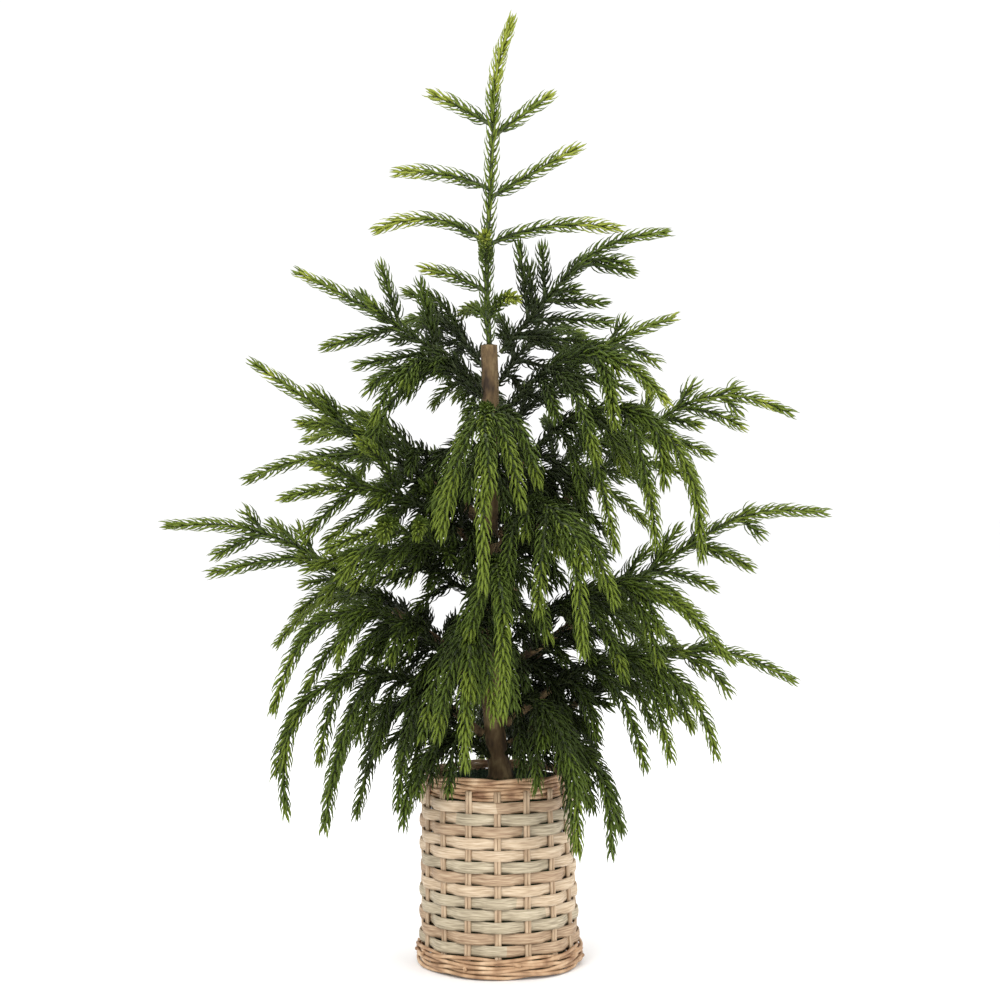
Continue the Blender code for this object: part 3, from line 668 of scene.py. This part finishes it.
def finish_of(name, colours, scale, stretch=(1.0, 1.0, 1.0), roughness=0.7, bump=0.2):
    """A rough surface that wanders between two or three screen colours, with a bump of the same grain."""
    colours = [colour_of(*colour) for colour in colours]
    made = bpy.data.materials.new(name)
    made.use_nodes = True
    nodes, links = made.node_tree.nodes, made.node_tree.links
    shader = nodes["Principled BSDF"]
    shader.inputs["Roughness"].default_value = roughness
    place = nodes.new("ShaderNodeTexCoord")
    mapping = nodes.new("ShaderNodeMapping")
    mapping.inputs["Scale"].default_value = stretch
    grain = nodes.new("ShaderNodeTexNoise")
    grain.inputs["Scale"].default_value = scale
    grain.inputs["Detail"].default_value = GRAIN_DETAIL
    ramp = nodes.new("ShaderNodeValToRGB")
    ramp.color_ramp.elements[0].position, ramp.color_ramp.elements[1].position = RAMP_ENDS
    ramp.color_ramp.elements[0].color = colours[0]
    ramp.color_ramp.elements[1].color = colours[-1]
    if len(colours) == 3:
        ramp.color_ramp.elements.new(0.5).color = colours[1]
    lift = nodes.new("ShaderNodeBump")
    lift.inputs["Strength"].default_value = bump
    lift.inputs["Distance"].default_value = BUMP_DISTANCE
    links.new(place.outputs["Object"], mapping.inputs["Vector"])
    links.new(mapping.outputs["Vector"], grain.inputs["Vector"])
    links.new(grain.outputs["Fac"], ramp.inputs["Fac"])
    links.new(ramp.outputs["Color"], shader.inputs["Base Color"])
    links.new(grain.outputs["Fac"], lift.inputs["Height"])
    links.new(lift.outputs["Normal"], shader.inputs["Normal"])
    return made


def needle_finish(name, colour):
    made = bpy.data.materials.new(name)
    made.use_nodes = True
    shader = made.node_tree.nodes["Principled BSDF"]
    shader.inputs["Base Color"].default_value = colour
    shader.inputs["Roughness"].default_value = NEEDLE_ROUGHNESS
    shader.inputs["Specular IOR Level"].default_value = NEEDLE_SPECULAR
    return made


def placed(obj, slot, *nodes):
    """Sets a finished piece on the part, in place of the CAD nodes that it stands for."""
    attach(obj, "root")
    if nodes:
        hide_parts(*nodes)


def fine_twig_lines(bough, line):
    """Shorter twigs all round the stem between the pairs, which the solids leave out."""
    chance = random.Random("fine " + bough.name)
    longest = max(length for pair in bough.pairs for length in pair[1:]) * MM
    twigs = []
    for index in range(FINE_TWIGS):
        share = FINE_FIRST_SHARE + (FINE_LAST_SHARE - FINE_FIRST_SHARE) * index / (FINE_TWIGS - 1)
        root, along = on_line(line, max(share, bough.bare))
        roll = math.radians(NEEDLE_TURN * index + chance.uniform(-FINE_ROLL, FINE_ROLL))
        spread = math.radians(bough.spread + chance.uniform(-SPREAD_JITTER, SPREAD_JITTER))
        length = longest * chance.uniform(*FINE_LENGTHS) * (1.0 - FINE_SHORTER * share)
        twigs.append(drooping_line(root, turned_from(along, spread, roll), length, bough.sag))
    return twigs


def turned_from(along, spread, roll):
    """A direction that stands off a line by spread, turned round it by roll."""
    side = along.orthogonal().normalized()
    out = side * math.cos(roll) + along.cross(side) * math.sin(roll)
    return along * math.cos(spread) + out * math.sin(spread)


def limb_sprig_lines(name, limb):
    """Sprigs round one bare limb."""
    chance = random.Random("sprigs " + name)
    sprigs = []
    for index in range(LIMB_SPRIGS):
        root, along = on_line(limb, (index + LIMB_SPRIG_FIRST) / LIMB_SPRIGS)
        roll = math.radians(NEEDLE_TURN) * index + chance.uniform(0.0, LIMB_SPRIG_ROLL)
        direction = turned_from(along, math.radians(LIMB_SPRIG_SPREAD), roll)
        length = chance.uniform(*LIMB_SPRIG_LENGTHS) * MM
        root = root + direction * (BOUGH_ROOT_RADIUS + TWIG_RADIUS)
        sprigs.append(drooping_line(root, direction, length, chance.uniform(*SPRIG_SAGS)))
    return sprigs


def trunk_sprig_lines():
    """Sprigs all round the trunk, climbing it in a spiral."""
    chance = random.Random("trunk sprigs")
    sprigs = []
    for index, height in enumerate(range(SPRIG_LOWEST, SPRIG_HIGHEST, SPRIG_EVERY)):
        centre, radius = on_stem(TRUNK, height * MM)
        azimuth = NEEDLE_TURN * index + chance.uniform(-SPRIG_TURN_JITTER, SPRIG_TURN_JITTER)
        direction = heading(azimuth, chance.uniform(*SPRIG_PITCHES))
        root = centre + direction * (radius + TWIG_RADIUS + TWIG_CLEARANCE)
        length = chance.uniform(*SPRIG_LENGTHS) * MM
        sprigs.append(drooping_line(root, direction, length, chance.uniform(*SPRIG_SAGS)))
    return sprigs


def all_twigs():
    """Every twig as its line, its mass and its kind, and every bare limb's line.

    The stems and paired twigs come first, by the rule of the solids, then the finer ones in the room left.
    """
    space = Space()
    for low, high in zip(TRUNK, TRUNK[1:]):
        space.add_line(stem_points((low, high)), max(low.radius, high.radius) * MM, "trunk")
    lines = {bough.name: bough_line(bough) for bough in BOUGHS}
    limbs = {}
    twigs = []
    for bough in BOUGHS:
        if bough.bare:
            line = lines[bough.name]
            start = start_clear_of_trunk(line, BOUGH_ROOT_RADIUS)
            limbs[bough.name] = part_of_line(line, start, bough.bare, TWIG_STEPS)
            space.add_line(limbs[bough.name], BOUGH_ROOT_RADIUS, "bough_" + bough.name)
    for bough in BOUGHS:
        stem = stem_line(bough, lines[bough.name])
        space.add_line(stem, STEM_RADIUS, "foliage_" + bough.name)
        twigs.append((stem, bough.name, "stem"))
    leader = stem_points(LEADER)
    space.add_line(leader, LEADER[0].radius * MM, "foliage_leader")
    twigs.append((leader, "leader", "stem"))
    found = {bough.name: twig_lines(bough, lines[bough.name]) for bough in BOUGHS}
    found["leader"] = leader_twig_lines()
    fine = {bough.name: fine_twig_lines(bough, lines[bough.name]) for bough in BOUGHS}
    sprigs = {name: limb_sprig_lines(name, limb) for name, limb in limbs.items()}
    sprigs["trunk"] = trunk_sprig_lines()
    for kind, groups in (("twig", found), ("fine", fine), ("sprig", sprigs)):
        for name, group in groups.items():
            for twig in group:
                fitted = space.fitted(twig, TWIG_RADIUS, "foliage_" + name, "bough_" + name)
                if fitted:
                    twigs.append((fitted, name, kind))
                    space.add_line(fitted, TWIG_RADIUS, "foliage_" + name)
    return twigs, limbs


def finer_line(line, every):
    """A line again in even steps, no longer than every and never fewer than a few."""
    steps = max(FEWEST_STEPS, math.ceil(line_length(line) / every))
    return part_of_line(line, 0.0, 1.0, steps)


def needle_faces():
    """The triangles of one needle: three-sided rings that end in a point."""
    faces = [(0, 2, 1)]
    for ring in range(0, 3 * (NEEDLE_PARTS - 1), 3):
        for index in range(3):
            low, right = ring + index, ring + (index + 1) % 3
            faces += [(low, right, right + 3), (low, right + 3, low + 3)]
    last = 3 * (NEEDLE_PARTS - 1)
    faces += [(last + index, last + (index + 1) % 3, last + 3) for index in range(3)]
    return np.array(faces)


def grow_needles(shapes, line, kind, name, chance):
    """Needles in a spiral along one twig, each curving forward, dealt out to tones by spray, with painted
    shade deep in the crown and painted light at its outside.
    """
    length = line_length(line)
    bare = BARE_ROOT if kind in ("twig", "fine") else 0.0
    count = int((length - bare) / NEEDLE_EVERY)
    if count < FEWEST_NEEDLES:
        return
    frames = frames_along(finer_line(line, NEEDLE_STEP))
    place = bare + (np.arange(count) + 0.5) * NEEDLE_EVERY
    share = place / length
    last = len(frames[0]) - 1
    at = share * last
    low = np.minimum(at.astype(int), last - 1)
    past = (at - low)[:, None]
    centre, run, side, over = (rows[low] * (1.0 - past) + rows[low + 1] * past for rows in frames)
    run /= np.linalg.norm(run, axis=1)[:, None]
    angle = np.radians(NEEDLE_TURN) * np.arange(count) + chance.uniform(0.0, math.tau)
    angle += np.array([chance.uniform(-NEEDLE_ROLL, NEEDLE_ROLL) for _ in range(count)])
    out = side * np.cos(angle)[:, None] + over * np.sin(angle)[:, None]
    across = np.cross(run, out)
    near_tip = np.clip((share - TIP_FROM) / (1.0 - TIP_FROM), 0.0, 1.0)
    leave = np.radians(NEEDLE_LEAVES) * (1.0 - TIP_LEAVES_LESS * near_tip)
    end = np.radians(NEEDLE_ENDS) * (1.0 - TIP_ENDS_LESS * near_tip)
    size = NEEDLE_LENGTH * (1.0 - TIP_SHORTER * near_tip)
    size *= np.array([chance.uniform(*NEEDLE_LENGTH_SPREAD) for _ in range(count)])
    size *= np.clip(NEEDLE_ROOT_SHARE + share * NEEDLE_ROOT_SLOPE, 0.0, 1.0)
    core = CORE_RADIUS + (CORE_TIP_RADIUS - CORE_RADIUS) * share
    point = centre + out * (NEEDLE_SUNK_SHARE * core)[:, None]
    corners = []
    for part in range(NEEDLE_PARTS):
        turn = leave + (end - leave) * part / (NEEDLE_PARTS - 1)
        ahead = run * np.cos(turn)[:, None] + out * np.sin(turn)[:, None]
        back = out * np.cos(turn)[:, None] - run * np.sin(turn)[:, None]
        wide = 0.5 * NEEDLE_WIDTH * NEEDLE_SHAPE[part]
        deep = NEEDLE_DEPTH * NEEDLE_SHAPE[part]
        corners += [point - across * wide, point + across * wide, point + back * deep]
        point = point + ahead * (size / NEEDLE_PARTS)[:, None]
    rings = np.stack(corners + [point], axis=1)
    faces = needle_faces()
    spray = (place / SPRAY).astype(int)
    jitter = np.array([chance.uniform(-TONE_JITTER, TONE_JITTER) for _ in range(spray.max() + 1)])[spray]
    # Painted shade and light: darker near the trunk, a little lighter at the outside of the crown
    painted_light_and_shade = np.hypot(centre[:, 0], centre[:, 1]) / INNER_RADIUS - 1.0
    painted_light_and_shade = np.clip(painted_light_and_shade, INWARD_PAINTED_SHADE, OUTWARD_PAINTED_LIGHT)
    bright = TONE_SLOPE * share + jitter + painted_light_and_shade + HEIGHT_TONE * (centre[:, 2] - HEIGHT_TONE_FROM)
    if name == "leader":
        bright += LEADER_TONE
    # Painted shade on the sprigs inside the crown
    if kind == "sprig":
        bright += SPRIG_PAINTED_SHADE
    tones = np.digitize(bright, TONE_STEPS)
    for tone in range(len(TONES)):
        chosen = rings[tones == tone]
        if len(chosen):
            numbers = np.arange(len(chosen))[:, None, None] * rings.shape[1] + faces[None]
            shapes[tone].add(chosen.reshape(-1, 3), numbers.reshape(-1, 3))


def foliage():
    """The needles, a piece for each tone, and their stems. Returns the bare limbs, for their bark."""
    twigs, limbs = all_twigs()
    chance = random.Random("needles")
    shapes = [Shape() for _ in TONES]
    cores = Shape()
    for line, name, kind in twigs:
        grow_needles(shapes, line, kind, name, chance)
        fine = finer_line(line, CORE_STEP)
        wide = LEADER_CORE_RADIUS if name == "leader" and kind == "stem" else TWIG_CORE_RADIUS
        tube(cores, fine, np.linspace(wide, CORE_TIP_RADIUS, len(fine)), CORE_SIDES)
    nodes = [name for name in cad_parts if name.startswith("foliage_")]
    for tone, colour, shape in zip(TONES, TONE_COLOURS, shapes):
        piece_name = "needles_" + tone
        placed(shape.piece(piece_name, needle_finish(piece_name, colour_of(*colour))), "needles", *nodes)
    stems = finish_of("twig_stems", ((36, 52, 24), (66, 74, 34)), scale=300.0)
    placed(cores.piece("twig_stems", stems), "needles")
    return limbs


def bark_tube(shape, line, radii, around, relief, seed):
    """A tube whose surface is furrowed along its length and knotted here and there."""
    def ripple(out, height, across, up):
        return noise.noise(Vector((out[0] * across, out[1] * across, height * up + seed)))

    points, _, sides, overs = frames_along(line)
    turn = np.arange(around) * math.tau / around
    rings = np.empty((len(points), around, 3))
    for step, (centre, side, over, radius) in enumerate(zip(points, sides, overs, radii)):
        for index, angle in enumerate(turn):
            out = side * math.cos(angle) + over * math.sin(angle)
            furrow = ripple(out, centre[2], *FURROWS)
            knot = ripple(out, centre[2], *KNOTS)
            reach = radius + relief * furrow + relief * max(0.0, knot) * KNOT_SIZE
            rings[step, index] = centre + out * reach
    shape.add(rings.reshape(-1, 3), tube_faces(len(points), around))


def limbs_and_trunk(limbs):
    """Bark over the trunk, the bare limbs and the stub of a cut shoot."""
    bark = finish_of("bark", ((48, 34, 20), (98, 78, 50), (142, 122, 86)),
                     scale=160.0, stretch=(1.0, 1.0, 0.35), roughness=0.85, bump=0.6)
    low, high = TRUNK[0].height * MM, TRUNK[-1].height * MM
    heights = [low + (high - low) * step / TRUNK_STEPS for step in range(TRUNK_STEPS + 1)]
    line, radii = zip(*(on_stem(TRUNK, height) for height in heights))
    stem = Shape()
    bark_tube(stem, line, radii, TRUNK_SIDES, TRUNK_RELIEF, 0.0)
    placed(stem.piece("trunk_bark", bark), "bark", "trunk")
    arms = Shape()
    for seed, centres in enumerate(limbs.values(), 1):
        fine = finer_line(centres, BOUGH_STEP)
        radii = np.linspace(BOUGH_ROOT_RADIUS, BOUGH_END_RADIUS, len(fine))
        bark_tube(arms, fine, radii, BOUGH_SIDES, BOUGH_RELIEF, LIMB_SEED * seed)
    along = heading(STUB_AZIMUTH, STUB_RISE)
    root = Vector((STUB_POINT.x * MM, 0.0, STUB_HEIGHT)) + along * STUB_ROOT
    stub = [root, root + along * 0.5 * STUB_LENGTH, root + along * STUB_LENGTH]
    bark_tube(arms, stub, STUB_RADII, BOUGH_SIDES, STUB_RELIEF, STUB_SEED)
    nodes = [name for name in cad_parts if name.startswith("bough_")]
    placed(arms.piece("bough_bark", bark), "bark", *nodes)


def wall_radius(height):
    """The radius of the middle of the woven wall at a height."""
    share = (height - FOOT_HEIGHT) / (BASKET_HEIGHT - RIM_HEIGHT - FOOT_HEIGHT)
    return WALL_FOOT_RADIUS + (WALL_TOP_RADIUS - WALL_FOOT_RADIUS) * share


def leaned(x, y, z):
    """A point moved as the basket leans."""
    return x - BASKET_LEAN * z / BASKET_HEIGHT, y, z


def round_basket(radius, angle, z):
    """A point round the basket's leaning axis."""
    return leaned(radius * math.cos(angle), radius * math.sin(angle), z)


def splint(shape, row, start, turns, chance):
    """One flat splint woven out past every second stake and in behind those between."""
    low, high = FOOT_HEIGHT + GAP, BASKET_HEIGHT - RIM_HEIGHT - GAP
    pitch = (high - low) / WEAVE_ROWS
    middle = low + (row + 0.5) * pitch
    steps = int(turns * STAKES * SPLINT_STEPS)
    profile = []
    for index in range(SPLINT_SECTIONS + 1):
        across = index / SPLINT_SECTIONS * 2.0 - 1.0
        profile.append((across, 0.5 * SPLINT_THICKNESS + SPLINT_CROWN * (1.0 - across * across)))
    for across, out in profile[::-1]:
        profile.append((across * SPLINT_BACK_SHARE, out - SPLINT_THICKNESS))
    phase = chance.uniform(0.0, 100.0)
    points = []
    for step in range(steps + 1):
        stake = start + step / SPLINT_STEPS
        angle = stake / STAKES * math.tau
        wobble = SPLINT_WANDER * noise.noise(Vector((stake * WANDER_PER_STAKE, phase, 0.0)))
        widening = SPLINT_WIDTH_WANDER * noise.noise(Vector((stake * WIDTH_PER_STAKE, phase, 9.0)))
        width = SPLINT_WIDTH * (1.0 + widening)
        bow = math.cos(math.pi * stake) * (-1.0) ** row
        bow = SPLINT_RELIEF * math.copysign(abs(bow) ** SPLINT_BEND, bow)
        from_end = min(step, steps - step) / SPLINT_STEPS
        bow -= SPLINT_TUCK * max(0.0, 1.0 - from_end)
        tilt = SPLINT_WANDER * noise.noise(Vector((stake * TILT_PER_STAKE, phase, 4.0)))
        for across, out in profile:
            z = middle + wobble + 0.5 * width * across
            radius = wall_radius(middle) + bow + out + tilt * across
            points.append(round_basket(radius, angle, z))
    ring = len(profile)
    faces = []
    for step in range(steps):
        faces += band_faces(step * ring, (step + 1) * ring, ring)
    end = steps * ring
    for index in range(1, ring - 1):
        faces += [(0, index, index + 1), (end, end + index + 1, end + index)]
    shape.add(points, faces)


def basket_weave():
    """Two splints to each row, which overlap at their ends."""
    chance = random.Random("weave")
    shapes = {tone: Shape() for tone in SPLINT_COLOURS}
    for row in range(WEAVE_ROWS):
        start = chance.uniform(0.0, STAKES)
        turns = chance.uniform(*FIRST_SPLINT_TURNS)
        for length in (turns + SPLINT_OVERLAP, 1.0 - turns + SPLINT_OVERLAP):
            tone = chance.choice(SPLINT_CHOICE)
            splint(shapes[tone], row, start, length, chance)
            start += (length - SPLINT_OVERLAP) * STAKES
    for tone, shape in shapes.items():
        piece_name = "splints_" + tone
        finish = finish_of(piece_name, SPLINT_COLOURS[tone],
                           scale=90.0, stretch=(1.0, 1.0, 14.0), roughness=0.62, bump=0.35)
        placed(shape.piece(piece_name, finish), "willow_splint", "basket_wall")


def stakes():
    """Pairs of thin upright rods, which the splints pass by turns outside and inside."""
    chance = random.Random("stakes")
    shape = Shape()
    for stake in range(STAKES):
        slant = chance.uniform(*STAKE_SLANTS) * MM
        for side in (-1.0, 1.0):
            line = []
            for step in range(STAKE_STEPS + 1):
                z = STAKE_ENDS_IN + (BASKET_HEIGHT - 2.0 * STAKE_ENDS_IN) * step / STAKE_STEPS
                radius = wall_radius(z) + STAKE_WAVE * math.sin(step * STAKE_WAVE_TURN)
                shift = side * STAKE_ROD_APART + slant * (step / STAKE_STEPS - 0.5)
                angle = stake / STAKES * math.tau + shift / radius
                line.append(round_basket(radius, angle, z))
            tube(shape, line, STAKE_ROD_RADIUS * chance.uniform(*STAKE_ROD_SPREAD), ROD_SIDES)
    finish = finish_of("stake_rods", ((146, 120, 92), (194, 171, 142)),
                       scale=260.0, stretch=(1.0, 1.0, 0.2), roughness=0.6, bump=0.25)
    placed(shape.piece("stake_rods", finish), "willow_rod")


def twisted_row(shape, radius, z, twist, chance, spread):
    """One row of a border: rods that wind round each other as they go round the basket."""
    for strand in range(BORDER_STRANDS):
        phase = strand / BORDER_STRANDS * math.tau
        wave = chance.uniform(0.0, 50.0)
        line = []
        for step in range(BORDER_STEPS):
            angle = step / BORDER_STEPS * math.tau
            wind = phase + twist * angle
            x, y = math.cos(angle) * BORDER_WANDER_RATE, math.sin(angle) * BORDER_WANDER_RATE
            jitter = BORDER_WANDER * noise.noise(Vector((x, y, wave)))
            out = radius + spread * math.cos(wind) + jitter
            line.append(round_basket(out, angle, z + spread * math.sin(wind) + jitter))
        tube(shape, line, BORDER_ROD_RADIUS, ROD_SIDES, closed=True)


def borders():
    """The rim's rows, and the foot's rows with loose ends of rods between them."""
    chance = random.Random("borders")
    finish = finish_of("border_rods", ((120, 84, 56), (174, 140, 106), (208, 180, 146)),
                       scale=75.0, roughness=0.6, bump=0.12)
    rim = Shape()
    for row in range(BORDER_ROWS):
        z = BASKET_HEIGHT - RIM_HEIGHT + (row + 0.5) * RIM_HEIGHT / BORDER_ROWS
        twisted_row(rim, RIM_RADIUS - RIM_INSET, z, BORDER_TWISTS[row % 2], chance, RIM_WIND)
    placed(rim.piece("rim_border", finish), "willow_rod", "basket_rim_border")
    foot = Shape()
    for row in range(BORDER_ROWS):
        z = FOOT_LOWEST + (row + FOOT_ROW_RISE) * (FOOT_HEIGHT - FOOT_LOWEST) / BORDER_ROWS
        twisted_row(foot, FOOT_RADIUS - FOOT_INSET, z, BORDER_TWISTS[row % 2], chance, FOOT_WIND)
    for _ in range(ROD_ENDS):
        angle = chance.uniform(0.0, math.tau)
        z = chance.uniform(*ROD_END_HEIGHTS) * MM
        out = heading(math.degrees(angle), chance.uniform(*ROD_END_PITCHES))
        along = heading(math.degrees(angle) + 90.0, 0.0)
        root = Vector(round_basket(FOOT_RADIUS - ROD_END_INSET, angle, z))
        end = root + out * ROD_END_OUT + along * chance.uniform(*ROD_END_ALONGS) * MM
        tube(foot, [root, root.lerp(end, 0.5), end], BORDER_ROD_RADIUS, ROD_SIDES)
    placed(foot.piece("foot_border", finish), "willow_rod", "basket_foot_border")


def moss_bed():
    """The fill: a lumpy top that drops at its edge, on a plain side."""
    points, faces = [], []
    for ring in range(MOSS_RINGS + 1):
        radius = MOSS_RADIUS * ring / MOSS_RINGS
        for index in range(MOSS_SIDES):
            angle = index / MOSS_SIDES * math.tau
            x, y = radius * math.cos(angle), radius * math.sin(angle)
            lump = noise.noise(Vector((x * MOSS_LUMP_RATE, y * MOSS_LUMP_RATE, 0.0)))
            lump += MOSS_FINE_LUMP * noise.noise(Vector((x * MOSS_FINE_RATE, y * MOSS_FINE_RATE, 5.0)))
            edge = smooth_step((ring / MOSS_RINGS - MOSS_EDGE_SHARE) / (1.0 - MOSS_EDGE_SHARE))
            points.append(leaned(x, y, MOSS_TOP + MOSS_LUMP * lump - MOSS_EDGE_DROP * edge))
    for z in (MOSS_SIDE_TOP, MOSS_SIDE_FOOT):
        for index in range(MOSS_SIDES):
            points.append(round_basket(MOSS_SIDE_RADIUS, index / MOSS_SIDES * math.tau, z))
    for ring in range(MOSS_RINGS + 2):
        faces += band_faces(ring * MOSS_SIDES, (ring + 1) * MOSS_SIDES, MOSS_SIDES)
    foot = len(points) - MOSS_SIDES
    faces += [(foot, foot + index + 1, foot + index) for index in range(1, MOSS_SIDES - 1)]
    bed = Shape()
    bed.add(points, faces)
    return bed


def moss_tufts():
    """Short tufts all over the fill, each a thin pyramid."""
    chance = random.Random("moss")
    tufts = Shape()
    for _ in range(MOSS_TUFTS):
        angle = chance.uniform(0.0, math.tau)
        radius = MOSS_RADIUS * math.sqrt(chance.uniform(*TUFT_AREAS))
        root = Vector(round_basket(radius, angle, MOSS_TOP - TUFT_SUNK))
        out = heading(chance.uniform(0.0, 360.0), chance.uniform(*TUFT_PITCHES))
        side = out.cross(UP).normalized() * chance.uniform(*TUFT_HALF_WIDTHS) * MM
        tip = root + out * chance.uniform(*TUFT_LENGTHS) * MM
        back = side.cross(out).normalized() * TUFT_DEPTH
        tufts.add([root - side, root + side, root + back, tip], [(0, 1, 3), (1, 2, 3), (2, 0, 3), (0, 2, 1)])
    return tufts


def moss():
    finish = finish_of("moss", ((18, 34, 20), (34, 62, 36), (58, 84, 44)),
                       scale=400.0, roughness=0.95, bump=0.8)
    placed(moss_bed().piece("moss_bed", finish), "moss", "moss_fill")
    placed(moss_tufts().piece("moss_tufts", finish), "moss")


def base():
    """A finish for the underside, which keeps the solid's own shape."""
    finish = finish_of("base_splint", ((150, 120, 86), (190, 160, 120)),
                       scale=120.0, stretch=(1.0, 8.0, 1.0), roughness=0.7, bump=0.4)
    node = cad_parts["basket_base"]
    node.data.materials.clear()
    node.data.materials.append(finish)


def floor_and_light():
    data = bpy.data.meshes.new("floor")
    corners = [(x * FLOOR_HALF, y * FLOOR_HALF, 0.0) for x, y in ((-1, -1), (1, -1), (1, 1), (-1, 1))]
    data.from_pydata(corners, [], [(0, 1, 2, 3)])
    floor = bpy.data.objects.new("floor", data)
    bpy.context.scene.collection.objects.link(floor)
    pale = bpy.data.materials.new("floor")
    pale.use_nodes = True
    shader = pale.node_tree.nodes["Principled BSDF"]
    shader.inputs["Base Color"].default_value = (FLOOR_GREY, FLOOR_GREY, FLOOR_GREY, 1.0)
    shader.inputs["Roughness"].default_value = FLOOR_ROUGHNESS
    data.materials.append(pale)
    world = bpy.data.worlds.new("studio")
    world.use_nodes = True
    sky = world.node_tree.nodes["Background"]
    sky.inputs["Color"].default_value = (1.0, 1.0, 1.0, 1.0)
    sky.inputs["Strength"].default_value = WORLD_LIGHT
    bpy.context.scene.world = world
    for light in LIGHTS:
        lamp = bpy.data.lights.new(light.name, "AREA")
        lamp.energy = light.power
        lamp.size = light.width
        obj = bpy.data.objects.new(light.name, lamp)
        obj.location = light.place
        obj.rotation_euler = (Vector(light.place) - LIT_PLACE).to_track_quat("Z", "Y").to_euler()
        bpy.context.scene.collection.objects.link(obj)


def camera():
    data = bpy.data.cameras.new("camera")
    data.sensor_width = SENSOR
    data.lens = PHOTO_FOCUS / FRAME_WIDTH * SENSOR
    obj = bpy.data.objects.new("camera", data)
    obj.location = (0.0, -CAMERA_DISTANCE, CAMERA_HEIGHT)
    obj.rotation_euler = (math.radians(90.0), 0.0, 0.0)
    bpy.context.scene.collection.objects.link(obj)
    bpy.context.scene.camera = obj


bpy.context.scene.view_settings.view_transform = "Standard"
camera()
floor_and_light()
limbs_and_trunk(foliage())
basket_weave()
stakes()
borders()
base()
moss()
